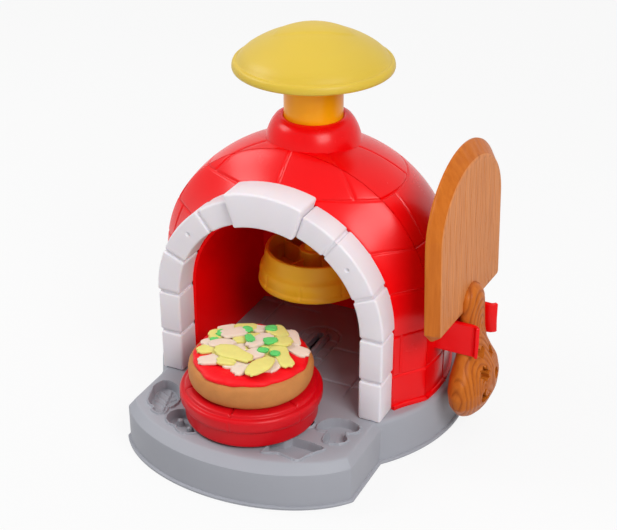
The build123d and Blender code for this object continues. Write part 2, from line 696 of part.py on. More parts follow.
def peel_clip():
    """Red sprung clip on the side of the dome that grips the peel's neck."""
    height = (CLIP_LOW_Z, CLIP_TOP_Z)
    middle = PEEL_AT[1]
    inner = CLIP_ARM_GAP / 2
    outer = inner + CLIP_ARM_THICK
    solid = block(88, 97, middle - outer, middle + outer, *height)
    for side in (-1, 1):
        low, high = sorted((side * inner, side * outer))
        solid += block(88, CLIP_TIP_X, middle + low, middle + high, *height)
        flare = Rot(0, 0, side * 35) * block(-0.8, 5.5, -CLIP_ARM_THICK / 2, CLIP_ARM_THICK / 2, *height)
        solid += Pos(CLIP_TIP_X - 0.4, middle + side * (inner + outer) / 2, 0) * flare
    swell = make_face(Polyline((-inner, 72), (inner, 72), (inner + 2.5, 61), (-inner - 2.5, 61), close=True))
    solid -= extrude(Plane.YZ.offset(98) * Pos(middle, 0) * swell, 50)
    return solid - dome_body(0, DECK_Z)


# ---------------------------------------------------------------- fasteners

def screw(x, y, seat, long):
    """Pan-head screw driven upwards, its head below the seat height."""
    head = upright_cylinder(SCREW_HEAD_R, seat - SCREW_HEAD_H, seat, x, y)
    shank = upright_cylinder(SCREW_R, seat, seat + long, x, y)
    cross = block(x - 1.8, x + 1.8, y - 0.4, y + 0.4, seat - SCREW_HEAD_H - 1, seat - 1)
    cross += block(x - 0.4, x + 0.4, y - 1.8, y + 1.8, seat - SCREW_HEAD_H - 1, seat - 1)
    return head + shank - cross


def base_screws():
    """Screws up through the deck into the shells and the liner."""
    seat = DECK_Z - DECK_THICK
    places = SHELL_SCREWS_FRONT + SHELL_SCREWS_REAR + LINER_SCREWS
    return Compound(children=[screw(x, y, seat, SCREW_LONG) for x, y in places])


def slider_screw():
    """Screw that ties the runner to the tray."""
    return screw(0, TRAY_Y, DECK_Z - DECK_THICK - 3.4, 15.0)


def head_screw():
    """Screw that holds the press head on its rod."""
    return screw(0, 0, HEAD_LOW_Z + 2.5, 14.0)


NODES = {
    "base_shell": base_shell,
    "base_screws": base_screws,
    "front_shell": front_shell,
    "rear_shell": rear_shell,
    "oven_liner": oven_liner,
    "arch_trim": arch_trim,
    "peel_clip": peel_clip,
    "press_collar": press_collar,
    "collar_ring": collar_ring,
    "press_spring": press_spring,
    "press_knob": press_knob,
    "knob_screws": knob_screws,
    "press_stem": press_stem,
    "stop_clip": stop_clip,
    "press_head": press_head,
    "head_screw": head_screw,
    "tray_dish": tray_dish,
    "tray_foot": tray_foot,
    "tray_slider": tray_slider,
    "slider_screw": slider_screw,
    "pizza_crust": pizza_crust,
    "pizza_sauce": pizza_sauce,
    "topping_yellow": lambda: topping(0),
    "topping_cream": lambda: topping(1),
    "topping_green": topping_green,
    "pizza_peel": pizza_peel,
}

os.makedirs("parts", exist_ok=True)
for name, make in NODES.items():
    export_step(make(), os.path.join("parts", name + ".step"))
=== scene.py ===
"""Toy pizza oven: detailed pieces, materials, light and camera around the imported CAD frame.

Shapes are worked out in millimetres, in the frame's own axes, and scaled when a mesh is made.
"""
import math
import random
from collections import Counter

import bmesh
import bpy
import numpy as np
from mathutils import Euler, Matrix, Vector
from mathutils.geometry import delaunay_2d_cdt


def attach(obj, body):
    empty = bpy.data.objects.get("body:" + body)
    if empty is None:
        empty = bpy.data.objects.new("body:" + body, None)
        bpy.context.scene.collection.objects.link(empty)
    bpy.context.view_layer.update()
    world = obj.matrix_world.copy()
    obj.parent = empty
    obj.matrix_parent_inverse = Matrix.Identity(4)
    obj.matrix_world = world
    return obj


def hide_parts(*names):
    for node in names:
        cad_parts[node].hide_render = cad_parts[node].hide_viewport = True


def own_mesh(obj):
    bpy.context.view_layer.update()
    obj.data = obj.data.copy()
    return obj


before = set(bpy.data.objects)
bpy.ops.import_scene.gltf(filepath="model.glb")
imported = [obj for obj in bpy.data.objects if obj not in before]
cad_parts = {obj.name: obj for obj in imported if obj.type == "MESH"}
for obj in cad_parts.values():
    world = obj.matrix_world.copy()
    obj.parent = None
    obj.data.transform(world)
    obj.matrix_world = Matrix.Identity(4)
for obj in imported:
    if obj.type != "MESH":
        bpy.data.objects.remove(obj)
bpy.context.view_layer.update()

MM = 0.001
TAU = 2 * math.pi

# ---- camera, in millimetres and degrees
PHOTO_W = 617
FOCAL_PX = 1400.0
SENSOR = 36.0
CAMERA_AT = (347.43, -726.8, 521.66)
CAMERA_AZIMUTH = 25.79
CAMERA_ELEVATION = 28.19
CAMERA_ROLL = -0.14

# ---- base
DECK_Z = 29.5
DECK_THICK = 3.1
APRON_HALF = 79.0
APRON_FRONT_Y = -85.6
NOSE = (87.5, 58.0)
BASE_Y = -45.0
BASE_COUNT = 900
SLOT_HALF = 2.5
SLOT_FRONT_Y = -103.0
SLOT_BACK_Y = 13.0
RIM_HALF = 5.5
RIM_H = 1.9
RIM_LONGER = 3.0
MOULD_DEPTH = 4.8
LIP_H = 1.2
VEIN_H = 1.1
STALK_HOLE_DEEP = 2.0
PIN_R = 2.3

# ---- dome
DOME_Y = -9.0
DOME_R = 94.4
DOME_SPRING_Z = 95.0
DOME_RISE = 90.0
FRONT_CURVE = 1.3
SHELL = 2.5
SEAM_Y = -30.0
COLLAR_HOLE_R = 23.7
PROFILE_END_R = 12.0
COURSES_Z = (53.5, 81.5, 110.0, 135.0, 162.3)
# Upright joints of every course: its heights, and where they are in degrees round the dome from its front.
JOINTS = ((162.3, 200.0, (-62, -3, 57, 107, 158, -122)),
          (135.0, 162.3, (-74, -22, 83, 135, 187, -126)),
          (110.0, 135.0, (-68, -16, 96, 147, 198, -112)),
          (81.5, 110.0, (-77, 88, 140, 191, -118)),
          (53.5, 81.5, (-88, 66, 118, 170, -138)),
          (30.0, 53.5, (-72, 92, 144, 196, -112)))
SCORE_DEEP = 0.8
SCORE_HALF = 0.6
SCORE_STEPS = (-2.2, -1.5, -1.0, -0.7, -0.45, -0.22, 0.0, 0.22, 0.45, 0.7, 1.0, 1.5, 2.2)

# ---- arch
ARCH_FRONT_Y = -67.5
ARCH_BACK_Y = -50.0
ARCH_Z = 86.3
ARCH_IN = 62.2
ARCH_OUT = 78.0
KEY_FRONT_Y = -71.5
KEY_IN = 61.4
KEY_OUT = 83.6
KEY_HALF_ANGLE = 18.5
DIMPLE_ANGLES = (40.0, 140.0)
CORE_INSET = 1.3

# ---- liner
LINER_IN = 60.0
LINER_BACK_Y = 55.0
LINER_BACK_R = 175.0
LINER_WALL = 2.1

# ---- press
KNOB_TOP_Z = 253.0
BADGE_H = 0.6
BADGE_HALF = (24.0, 11.0)
BADGE_TURN = 25.8
COLLAR_TOP_Z = 196.0
COLLAR_LOW_Z = 152.0

# ---- tray and pizza
TRAY_Y = -89.0
PLATE_TOP_Z = 54.0
PIZZA_R = 39.0
CRUST_TOP_Z = 70.5
SAUCE_TOP_Z = 73.0
SHRED_H = 2.0
LAYER_H = 1.35

# ---- peel
PEEL_AT = (110.0, -4.25, 90.0)
PEEL_LEAN = -1.7
PEEL_YAW = -2.4
GRAIN_DEEP = 0.55
HANDLE_GRAIN_DEEP = 0.5

# ---- light
FRONT_GLOW = 0.8


# ---------------------------------------------------------------- mesh helpers

def add_mesh(name, points, faces, sharp=40.0):
    """Mesh object from points in millimetres, with outward normals and edges kept crisp above an angle."""
    mesh = bpy.data.meshes.new(name)
    mesh.from_pydata([(x * MM, y * MM, z * MM) for x, y, z in points], [], faces)
    work = bmesh.new()
    work.from_mesh(mesh)
    bmesh.ops.remove_doubles(work, verts=work.verts, dist=0.002 * MM)
    bmesh.ops.recalc_face_normals(work, faces=work.faces)
    work.to_mesh(mesh)
    work.free()
    mesh.shade_smooth()
    if sharp < 180:
        mesh.set_sharp_from_angle(angle=math.radians(sharp))
    obj = bpy.data.objects.new(name, mesh)
    bpy.context.scene.collection.objects.link(obj)
    return obj


def place(obj, body, material, slot, *nodes):
    """Gives a piece its material and body, and hides the CAD nodes that it stands for. slot is not used."""
    if material is not None:
        obj.data.materials.clear()
        obj.data.materials.append(material)
    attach(obj, body)
    if nodes:
        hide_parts(*nodes)
    return obj


def apply_modifiers(obj):
    """Bakes an object's modifiers into its mesh."""
    graph = bpy.context.evaluated_depsgraph_get()
    mesh = bpy.data.meshes.new_from_object(obj.evaluated_get(graph))
    obj.modifiers.clear()
    obj.data = mesh
    return obj


def rounded(corners, steps=4):
    """Outline with its corners rounded: each corner is (a, b, radius)."""
    out = []
    count = len(corners)
    for i, (a, b, r) in enumerate(corners):
        here = Vector((a, b))
        if r <= 0:
            out.append((a, b))
            continue
        before = Vector(corners[i - 1][:2]) - here
        after = Vector(corners[(i + 1) % count][:2]) - here
        reach = min(r, before.length * 0.49, after.length * 0.49)
        start = here + before.normalized() * reach
        end = here + after.normalized() * reach
        for k in range(steps + 1):
            t = k / steps
            p = start * (1 - t) ** 2 + here * 2 * t * (1 - t) + end * t ** 2
            out.append((p.x, p.y))
    return out


def lathe(name, outline, turns=180, centre_y=0.0, shape=None, sharp=50.0):
    """Closed (radius, height) outline turned about a vertical axis. shape(angle, r, z) may move a point."""
    points = []
    faces = []
    rows = len(outline)
    for i in range(turns):
        angle = TAU * i / turns
        for r, z in outline:
            if shape:
                r, z = shape(angle, r, z)
            points.append((r * math.cos(angle), centre_y + r * math.sin(angle), z))
        here, there = i * rows, (i + 1) % turns * rows
        for k in range(rows):
            m = (k + 1) % rows
            if outline[k][0] > 1e-6 or outline[m][0] > 1e-6:
                faces.append((here + k, there + k, there + m, here + m))
    return add_mesh(name, points, faces, sharp)


def below(top, outline):
    """Outline of a lathe given as (radius, drop from a top)."""
    return [(r, top - drop) for r, drop in outline]


def grid_faces(rows, columns, closed=False):
    """Quads of a grid of points stored row by row."""
    faces = []
    for r in range(rows - 1):
        for c in range(columns if closed else columns - 1):
            d = (c + 1) % columns
            faces.append((r * columns + c, r * columns + d, (r + 1) * columns + d, (r + 1) * columns + c))
    return faces


def capped_faces(rows, columns):
    """Quads of a grid closed round its rows, with its first and last rows filled in."""
    ends = [tuple(range(columns)), tuple(rows * columns - 1 - i for i in range(columns))]
    return grid_faces(rows, columns, closed=True) + ends


def shifted(faces, first):
    """Faces of points that start further on in the list."""
    return [tuple(first + i for i in face) for face in faces]


def filled(loops, cloud):
    """Points and triangles over the area that closed loops bound, through a cloud of points as well."""
    flat = []
    edges = []
    for loop in loops:
        first = len(flat)
        flat += [Vector(p) for p in loop]
        edges += [(first + i, first + (i + 1) % len(loop)) for i in range(len(loop))]
    flat += [Vector(p) for p in cloud]
    points, _, tris, _, _, _ = delaunay_2d_cdt(flat, edges, [], 1, 1e-5)
    return np.array([tuple(p) for p in points]), tris


def lattice(xs, ys):
    """Every (x, y) of two rows of values."""
    return np.stack(np.meshgrid(xs, ys), -1).reshape(-1, 2)


def bevelled(obj, width, segments=3, angle=35.0):
    """Rounds an object's sharp edges."""
    bevel = obj.modifiers.new("bevel", "BEVEL")
    bevel.width = width * MM
    bevel.segments = segments
    bevel.limit_method = "ANGLE"
    bevel.angle_limit = math.radians(angle)
    bevel.use_clamp_overlap = True
    apply_modifiers(obj)
    obj.data.shade_smooth()
    obj.data.set_sharp_from_angle(angle=math.radians(50))
    return obj


def thickened(obj, thickness, side, sharp):
    """Gives a sheet its thickness, to one side of it."""
    wall = obj.modifiers.new("wall", "SOLIDIFY")
    wall.thickness = thickness * MM
    wall.offset = side
    apply_modifiers(obj)
    obj.data.set_sharp_from_angle(angle=math.radians(sharp))
    return obj


def cut_out(obj, tool, sharp=50):
    """Takes one closed mesh away from another."""
    cut = obj.modifiers.new("cut", "BOOLEAN")
    cut.operation = "DIFFERENCE"
    cut.solver = "EXACT"
    cut.object = tool
    apply_modifiers(obj)
    bpy.data.objects.remove(tool)
    obj.data.set_sharp_from_angle(angle=math.radians(sharp))


def box_mesh(name, x0, x1, y0, y1, z0, z1):
    """Box between two corners."""
    corners = [(x, y, z) for z in (z0, z1) for x, y in ((x0, y0), (x1, y0), (x1, y1), (x0, y1))]
    faces = [(0, 1, 2, 3), (7, 6, 5, 4), (0, 4, 5, 1), (1, 5, 6, 2), (2, 6, 7, 3), (3, 7, 4, 0)]
    return add_mesh(name, corners, faces)


def joined(name, parts):
    """Several meshes as one object."""
    bpy.ops.object.select_all(action="DESELECT")
    for part in parts:
        part.select_set(True)
    bpy.context.view_layer.objects.active = parts[0]
    bpy.ops.object.join()
    parts[0].name = name
    parts[0].data.name = name
    return parts[0]


def smooth_noise(x, y, z, seed=0.0):
    """Cheap smooth noise in -1..1 from a few sines, the same on every run."""
    total = math.sin(x * 1.7 + y * 2.3 + z * 1.1 + seed) + math.sin(x * -2.9 + y * 1.3 + z * 2.1 + seed * 1.7)
    total += 0.5 * math.sin(x * 4.9 + y * -5.3 + z * 4.1 + seed * 2.3)
    return total / 2.5


def near_line(distance, half):
    """1 on a line, fading smoothly to each side of it."""
    return np.exp(-(distance / half) ** 2)


def soft_step(value, low, high):
    """0 below low, 1 above high, smooth between."""
    t = np.clip((value - low) / (high - low), 0, 1)
    return t * t * (3 - 2 * t)


# ---------------------------------------------------------------- materials

def connect(tree, socket, value):
    """Links another node's output to a socket, or sets the socket to a constant."""
    if isinstance(value, bpy.types.NodeSocket):
        tree.links.new(value, socket)
    else:
        socket.default_value = value


def add_node(tree, kind, *inputs, **values):
    """Node with its first inputs, and some of its properties and inputs by name, set or linked."""
    node = tree.nodes.new(kind)
    for key, value in values.items():
        if hasattr(node, key):
            setattr(node, key, value)
        else:
            connect(tree, node.inputs[key.replace("_", " ")], value)
    for socket, value in zip(node.inputs, inputs):
        connect(tree, socket, value)
    return node


def new_material(name):
    """Node material: itself, its tree, its shader and the object's own coordinates."""
    material = bpy.data.materials.new(name)
    material.use_nodes = True
    tree = material.node_tree
    return material, tree, tree.nodes["Principled BSDF"], add_node(tree, "ShaderNodeTexCoord").outputs["Object"]


def set_shader(shader, **values):
    """Sets constants on a shader's sockets."""
    for key, value in values.items():
        shader.inputs[key.replace("_", " ")].default_value = value


def noise(tree, at, scale, detail, roughness=0.5):
    """Noise texture at some coordinates."""
    node = add_node(tree, "ShaderNodeTexNoise", at, Scale=scale, Detail=detail, Roughness=roughness)
    return node.outputs["Fac"]


def shades(tree, level, low, high, margin=0.0, between=()):
    """Colour that goes from low to high with a level, even within a margin of each end. between adds greys."""
    ramp = add_node(tree, "ShaderNodeValToRGB", level)
    for stop, place_at, colour in zip(ramp.color_ramp.elements, (margin, 1 - margin), (low, high)):
        stop.position = place_at
        stop.color = tuple(colour) + (1,)
    for place_at, grey in between:
        ramp.color_ramp.elements.new(place_at).color = (grey, grey, grey, 1)
    return ramp.outputs["Color"]


def drifting(tree, level, colour, vary, margin):
    """Colour that drifts a little to each side of its own value."""
    low, high = [c * (1 - vary) for c in colour], [min(1, c * (1 + vary)) for c in colour]
    return shades(tree, level, low, high, margin)


def relief(tree, shader, height, strength, distance):
    """Fine relief on a shader's normal."""
    bump = add_node(tree, "ShaderNodeBump", Strength=strength, Distance=distance, Height=height)
    tree.links.new(bump.outputs["Normal"], shader.inputs["Normal"])


def plastic(name, colour, roughness, vary=0.02, bump=0.03, scatter=0.0, specular=0.26):
    """Moulded plastic: faint colour drift, uneven gloss and a very fine moulded texture."""
    material, tree, shader, at = new_material(name)
    drift = noise(tree, at, 18.0, 3.0, 0.55)
    tree.links.new(drifting(tree, drift, colour, vary, 0.3), shader.inputs["Base Color"])
    gloss = add_node(tree, "ShaderNodeMapRange", Value=noise(tree, at, 60.0, 4.0, 0.6),
                     To_Min=roughness * 0.88, To_Max=roughness * 1.14)
    tree.links.new(gloss.outputs["Result"], shader.inputs["Roughness"])
    relief(tree, shader, noise(tree, at, 900.0, 2.0), bump, 0.0004)
    set_shader(shader, Specular_IOR_Level=specular, Subsurface_Weight=scatter,
               Subsurface_Radius=(1.0, 0.6, 0.35), Subsurface_Scale=0.002)
    return material


def dough(name, colour, bump=0.2, vary=0.04, scatter=0.15, roughness=0.62):
    """Soft modelling dough: matt, slightly waxy, with small pores and finger-smoothed lumps."""
    material, tree, shader, at = new_material(name)
    mottle = noise(tree, at, 160.0, 5.0, 0.6)
    tree.links.new(drifting(tree, mottle, colour, vary, 0.32), shader.inputs["Base Color"])
    relief(tree, shader, noise(tree, at, 640.0, 6.0, 0.65), bump, 0.0006)
    set_shader(shader, Roughness=roughness, Specular_IOR_Level=0.2, Subsurface_Weight=scatter,
               Subsurface_Radius=(1.0, 0.5, 0.3), Subsurface_Scale=0.003)
    return material


def wood_plastic(name, light, dark, roughness, specular):
    """Wood-coloured plastic: streaks that run along the peel, darker down in its moulded grain."""
    material, tree, shader, at = new_material(name)
    stretch = add_node(tree, "ShaderNodeMapping", at, Scale=(260.0, 260.0, 22.0))
    streak = noise(tree, stretch.outputs["Vector"], 1.0, 5.0, 0.62)
    # The colour is darkened down in the moulded grain, by how deep the grain is there.
    grain_darkening = add_node(tree, "ShaderNodeMix", data_type="RGBA", blend_type="MULTIPLY")
    depth = add_node(tree, "ShaderNodeAttribute", attribute_name="grain")
    connect(tree, grain_darkening.inputs[0], depth.outputs["Fac"])
    connect(tree, grain_darkening.inputs[6], shades(tree, streak, dark, light, 0.36))
    connect(tree, grain_darkening.inputs[7], (0.60, 0.46, 0.34, 1))
    tree.links.new(grain_darkening.outputs[2], shader.inputs["Base Color"])
    relief(tree, shader, streak, 0.12, 0.0004)
    set_shader(shader, Roughness=roughness, Specular_IOR_Level=specular)
    return material


def steel(name):
    """Zinc-plated steel with fine turned marks."""
    material, tree, shader, at = new_material(name)
    marks = noise(tree, at, 700.0, 3.0)
    tree.links.new(shades(tree, marks, (0.5, 0.5, 0.51), (0.72, 0.72, 0.73)), shader.inputs["Base Color"])
    relief(tree, shader, marks, 0.1, 0.0002)
    set_shader(shader, Metallic=1.0, Roughness=0.3)
    return material


RED = plastic("red_plastic", (0.82, 0.001, 0.003), 0.26, bump=0.02, specular=0.22)
LINER_RED = plastic("liner_red_plastic", (0.93, 0.0, 0.001), 0.4, specular=0.10)
TRAY_RED = plastic("tray_red_plastic", (0.62, 0.002, 0.008), 0.34, bump=0.04, specular=0.22)
GREY = plastic("grey_plastic", (0.345, 0.352, 0.390), 0.5, bump=0.06, specular=0.25)
WHITE = plastic("white_plastic", (0.77, 0.73, 0.77), 0.42, vary=0.01, scatter=0.2, specular=0.3)
KNOB_YELLOW = plastic("knob_yellow_plastic", (0.63, 0.44, 0.045), 0.42, scatter=0.1, specular=0.3)
STEM_ORANGE = plastic("stem_orange_plastic", (0.97, 0.42, 0.003), 0.3, scatter=0.1)
HEAD_ORANGE = plastic("head_orange_plastic", (0.95, 0.50, 0.020), 0.36, vary=0.03, scatter=0.1)
# The face's colour is lighter and paler than the body's: painted sheen of the light on the flat face, over the
# face's own tone.
PEEL_FACE_SHEEN = wood_plastic("peel_face_sheen_plastic", (0.66, 0.245, 0.075), (0.56, 0.185, 0.045), 0.5, 0.3)
PEEL_BODY = wood_plastic("peel_plastic", (0.55, 0.150, 0.016), (0.47, 0.115, 0.010), 0.38, 0.14)
CRUST = dough("crust_dough", (0.53, 0.21, 0.060), bump=0.3, vary=0.05)
SAUCE = dough("sauce_dough", (0.84, 0.004, 0.010), bump=0.3, scatter=0.05, roughness=0.45, vary=0.03)
YELLOW_DOUGH = dough("yellow_dough", (0.74, 0.67, 0.20))
CREAM_DOUGH = dough("cream_dough", (0.78, 0.62, 0.51))
GREEN_DOUGH = dough("green_dough", (0.13, 0.62, 0.16), vary=0.05)
STEEL = steel("screw_steel")


# ---------------------------------------------------------------- base

def apron_reach(angle, side_inset, front_inset):
    """Distance from the base's centre to the apron's outline in one direction."""
    dx, dy = math.cos(angle), math.sin(angle)
    best = (APRON_HALF - side_inset) / abs(dx) if abs(dx) > 1e-9 else 1e9
    if dy < 0:
        a, b = NOSE[0] - side_inset, NOSE[1] - front_inset
        oy = BASE_Y - APRON_FRONT_Y
        qa = dx * dx / (a * a) + dy * dy / (b * b)
        qb = 2 * oy * dy / (b * b)
        root = qb * qb - 4 * qa * (oy * oy / (b * b) - 1)
        if root > 0:
            best = min(best, (-qb + math.sqrt(root)) / (2 * qa))
    if dy > 0:
        best = min(best, -BASE_Y / dy)
    return best


def skirt_reach(angle, radius):
    """Distance from the base's centre to the round skirt in one direction."""
    dot = BASE_Y * math.sin(angle)
    return -dot + math.sqrt(dot * dot - BASE_Y * BASE_Y + radius * radius)


def base_loop(z, side_inset, front_inset, radius):
    """Outline of the base at one height, as points."""
    loop = []
    for i in range(BASE_COUNT):
        angle = TAU * i / BASE_COUNT
        reach = max(apron_reach(angle, side_inset, front_inset), skirt_reach(angle, radius))
        loop.append((reach * math.cos(angle), BASE_Y + reach * math.sin(angle), z))
    return loop


def spline_loop(points, steps=8):
    """Closed smooth curve through points (Catmull-Rom)."""
    out = []
    count = len(points)
    pts = [np.array(p, float) for p in points]
    for i in range(count):
        p0, p1, p2, p3 = pts[i - 1], pts[i], pts[(i + 1) % count], pts[(i + 2) % count]
        for k in range(steps):
            t = k / steps
            out.append(0.5 * (2 * p1 + (p2 - p0) * t + (2 * p0 - 5 * p1 + 4 * p2 - p3) * t ** 2
                              + (3 * p1 - p0 - 3 * p2 + p3) * t ** 3))
    return np.array(out)


def circle_loop(x, y, rx, ry=None, count=48):
    """Closed ellipse."""
    t = np.linspace(0, TAU, count, endpoint=False)
    return np.stack([x + rx * np.cos(t), y + (ry or rx) * np.sin(t)], -1)


def corner_loop(corners, radius, steps=5):
    """Closed polygon with rounded corners, filled in along its sides."""
    rough = rounded([(x, y, radius) for x, y in corners], steps)
    out = []
    for i, p in enumerate(rough):
        q = rough[(i + 1) % len(rough)]
        length = math.dist(p, q)
        for k in range(max(1, int(length / 1.2))):
            t = k / max(1, int(length / 1.2))
            out.append((p[0] + (q[0] - p[0]) * t, p[1] + (q[1] - p[1]) * t))
    return np.array(out)


LEAF = [(-68.5, -87), (-65.5, -83.3), (-60.5, -83.4), (-55, -86.3), (-50, -93.5), (-47.3, -99.5),
        (-47.5, -105.5), (-49.5, -109), (-48.6, -113.5), (-52, -116), (-56.3, -114.5), (-57.2, -111.3),
        (-62.7, -108.3), (-66, -102), (-67.6, -96.5), (-69.2, -92)]
STAR = [(25.2, -125.2), (34.3, -120.8), (48.2, -123.2), (51.3, -114.8), (57.8, -106),
        (46, -104.4), (35, -104.2), (33.2, -109.5), (22.5, -110.5), (27, -118)]
MUSHROOM = [(46.3, -89.6), (44.3, -85.5), (46.2, -79), (52, -74.6), (60, -73.6), (66.6, -76.3),
            (68.4, -80.5), (65.3, -84.2), (61.8, -84.2), (63.2, -88.3), (66.2, -93.6), (61.3, -98),
            (54.6, -99.2), (52.6, -93.5), (52.4, -88.3)]
OLIVES = ((-36.5, -114.7), (-27.0, -119.4))
STALK_HOLE = (58.5, -92.5)
MOULDS = [spline_loop(LEAF), circle_loop(*OLIVES[0], 8.2), circle_loop(*OLIVES[1], 8.2),
          corner_loop(STAR, 2.2), spline_loop(MUSHROOM), circle_loop(31, -86, 9.6, 6.5)]


def signed_distance(points, loop):
    """Distance of each point to a closed polyline, negative inside."""
    a = loop
    b = np.roll(loop, -1, 0)
    p = points[:, None, :]
    ab = b - a
    t = np.clip(((p - a) * ab).sum(-1) / np.maximum((ab * ab).sum(-1), 1e-12), 0, 1)
    near = a + t[..., None] * ab
    dist = np.sqrt(((p - near) ** 2).sum(-1)).min(1)
    x, y = points[:, 0:1], points[:, 1:2]
    crosses = ((a[:, 1] > y) != (b[:, 1] > y))
    with np.errstate(divide="ignore", invalid="ignore"):
        cut = (b[:, 0] - a[:, 0]) * (y - a[:, 1]) / (b[:, 1] - a[:, 1]) + a[:, 0]
    inside = (crosses & (x < cut)).sum(1) % 2 == 1
    return np.where(inside, -dist, dist)


def slot_loop(half, extra=0.0, count=24):
    """Round-ended slot along Y, grown at its ends by extra."""
    back, front = SLOT_BACK_Y + extra - half, SLOT_FRONT_Y - extra + half
    out = []
    for start, side, centre, other in ((0.0, -half, back, front), (math.pi, half, front, back)):
        for k in range(count + 1):
            a = start + math.pi * k / count
            out.append((half * math.cos(a), centre + half * math.sin(a)))
        out += [(side, centre + (other - centre) * k / 24) for k in range(1, 24)]
    return np.array(out)


def leaf_veins(points):
    """Raised veins of the leaf mould, 0 to 1: a midrib, with ribs that slant away from it."""
    stem = np.array([-52.5, -112.0])
    axis = np.array([-60.0, -85.5]) - stem
    axis /= np.linalg.norm(axis)
    along = (points - stem) @ axis
    across = (points - stem) @ np.array([-axis[1], axis[0]])
    side = np.abs(np.mod(along - np.abs(across) * 0.8 + 3.0, 6.0) - 3.0)
    return np.maximum(near_line(across, 0.6), 0.8 * near_line(side - 3.0, 0.6))


def floor_scores(points):
    """Depth of the lines scored in the oven's floor: tiles, and a border of small bricks round the slot."""
    x, y = points[:, 0], points[:, 1]
    path_out = signed_distance(points, slot_loop(13.5, 11.0))
    path_in = signed_distance(points, slot_loop(6.6, 4.2))
    between = (path_out < 0) & (path_in > 0)
    brick = np.abs(np.mod(y + 3.0, 12.0) - 6.0) - 6.0
    lines = [near_line(y - at, 0.7) * (np.abs(x) > 14.2) for at in (-36.0, 2.0, 40.0)]
    lines += [near_line(d, 0.7) for d in (x + 44.0, x - 44.0, path_out, path_in)]
    lines += [near_line(brick, 0.6) * between * (y < 14), near_line(x, 0.6) * between * (y > 14)]
    return np.maximum.reduce(lines) * ((np.abs(x) < 60) & (y > -49) & (y < 50))


def deck_height(points):
    """Height of the deck's top face: sunk moulds with raised lips, slot rim and scored floor tiles."""
    z = np.full(len(points), DECK_Z)
    x, y = points[:, 0], points[:, 1]
    lip = np.zeros(len(points))
    sunk = np.zeros(len(points))
    for index, loop in enumerate(MOULDS):
        d = signed_distance(points, loop)
        lip = np.maximum(lip, soft_step(d, 0.05, 0.35) * (1 - soft_step(d, 1.0, 1.35)))
        sunk = np.maximum(sunk, 1 - soft_step(d, -0.7, 0.2))
        if index == 0:
            z += VEIN_H * leaf_veins(points) * (d < -1.6)
    z -= STALK_HOLE_DEEP * (1 - soft_step(np.hypot(x - STALK_HOLE[0], y - STALK_HOLE[1]), 1.2, 1.9))
    z += LIP_H * lip * (1 - sunk) - MOULD_DEPTH * sunk
    for ox, oy in OLIVES:
        pin = np.hypot(x - ox, y - oy)
        post = DECK_Z - 0.6 - 0.22 * pin ** 2 - (MOULD_DEPTH - 0.6) * soft_step(pin, PIN_R - 0.35, PIN_R + 0.1)
        z = np.where(pin < PIN_R + 0.2, np.maximum(z, post), z)
    z += RIM_H * (1 - soft_step(signed_distance(points, slot_loop(RIM_HALF, RIM_LONGER)), -0.7, 0.2))
    return z - floor_scores(points)


def around_mould(loop):
    """Points along both sides of a mould's edge and over its floor."""
    ahead = np.roll(loop, -1, 0) - np.roll(loop, 1, 0)
    normal = np.stack([ahead[:, 1], -ahead[:, 0]], -1)
    normal /= np.maximum(np.linalg.norm(normal, axis=1, keepdims=True), 1e-9)
    if (loop[:, 0] * np.roll(loop[:, 1], -1) - np.roll(loop[:, 0], -1) * loop[:, 1]).sum() < 0:
        normal = -normal
    rings = [loop + normal * off for off in (-1.6, -1.05, -0.7, -0.45, -0.2, 0.05, 0.35, 0.7, 1.0, 1.35, 2.1)]
    floor = lattice(*[np.arange(loop[:, k].min(), loop[:, k].max(), 0.9) for k in (0, 1)])
    return rings + [floor[signed_distance(floor, loop) < -1.9]]


def deck_cloud(rim, hole):
    """Points over the deck, close together where its height changes."""
    cloud = []
    for loop in MOULDS:
        cloud += around_mould(loop)
    sides = np.arange(SLOT_FRONT_Y, SLOT_BACK_Y, 2.0)
    for off in (-0.9, -0.5, -0.1, 0.25):
        cloud.append(slot_loop(RIM_HALF + off, RIM_LONGER + off, 40))
        cloud += [np.stack([np.full(len(sides), x), sides], -1) for x in (RIM_HALF + off, -RIM_HALF - off)]
    for x, y in OLIVES:
        cloud += [circle_loop(x, y, reach, count=24) for reach in (0.01, 0.8, 1.5, 1.9, 2.1, 2.3, 2.45, 2.8)]
    cloud.append(lattice(np.arange(-59, 59.1, 1.0), np.arange(-48, 50, 1.0)))
    cloud.append(lattice(np.arange(-15, 15.1, 0.55), np.arange(-49, 27, 0.55)))
    cloud.append(lattice(np.arange(-100, 101, 5.0), np.arange(-145, 101, 5.0)))
    cloud = np.concatenate(cloud)
    cloud = cloud[signed_distance(cloud, rim) < -0.8]
    cloud = cloud[signed_distance(cloud, hole) > 0.5]
    _, keep = np.unique(np.round(cloud / 0.45).astype(int), axis=0, return_index=True)
    return cloud[np.sort(keep)]


# Rows of the base's skirt and of its inside: height, inset of the apron's sides and of its front, and the
# radius of the round part.
SKIRT = ((0, 0.5, 0.5, 104.0), (0.5, 0, 0, 104.5), (1.6, 0, 0, 104.5), (2.1, 0.5, 0.5, 104.0),
         (2.3, 1.5, 1.5, 102.6), (2.9, 1.6, 1.6, 102.4), (13, 1.6, 1.6, 101.9),
         (23.4, 1.6, 1.6, 101.35), (24.3, 1.75, 1.8, 101.3),
         (25.0, 2.2, 2.6, 101.25), (26.5, 3.35, 4.6, 101.1), (27.6, 4.2, 6.1, 100.9), (28.5, 4.8, 7.3, 100.3),
         (29.1, 5.3, 8.1, 99.6), (29.4, 5.9, 8.9, 98.9), (DECK_Z, 6.8, 9.8, 98.0))
SKIRT_INSIDE = ((DECK_Z - DECK_THICK, 6.8, 9.8, 98.0), (24.0, 5.2, 6.4, 98.3), (20.0, 4.4, 4.4, 98.5),
                (2.5, 4.4, 4.4, 99.2), (0, 3.4, 3.4, 100.2))


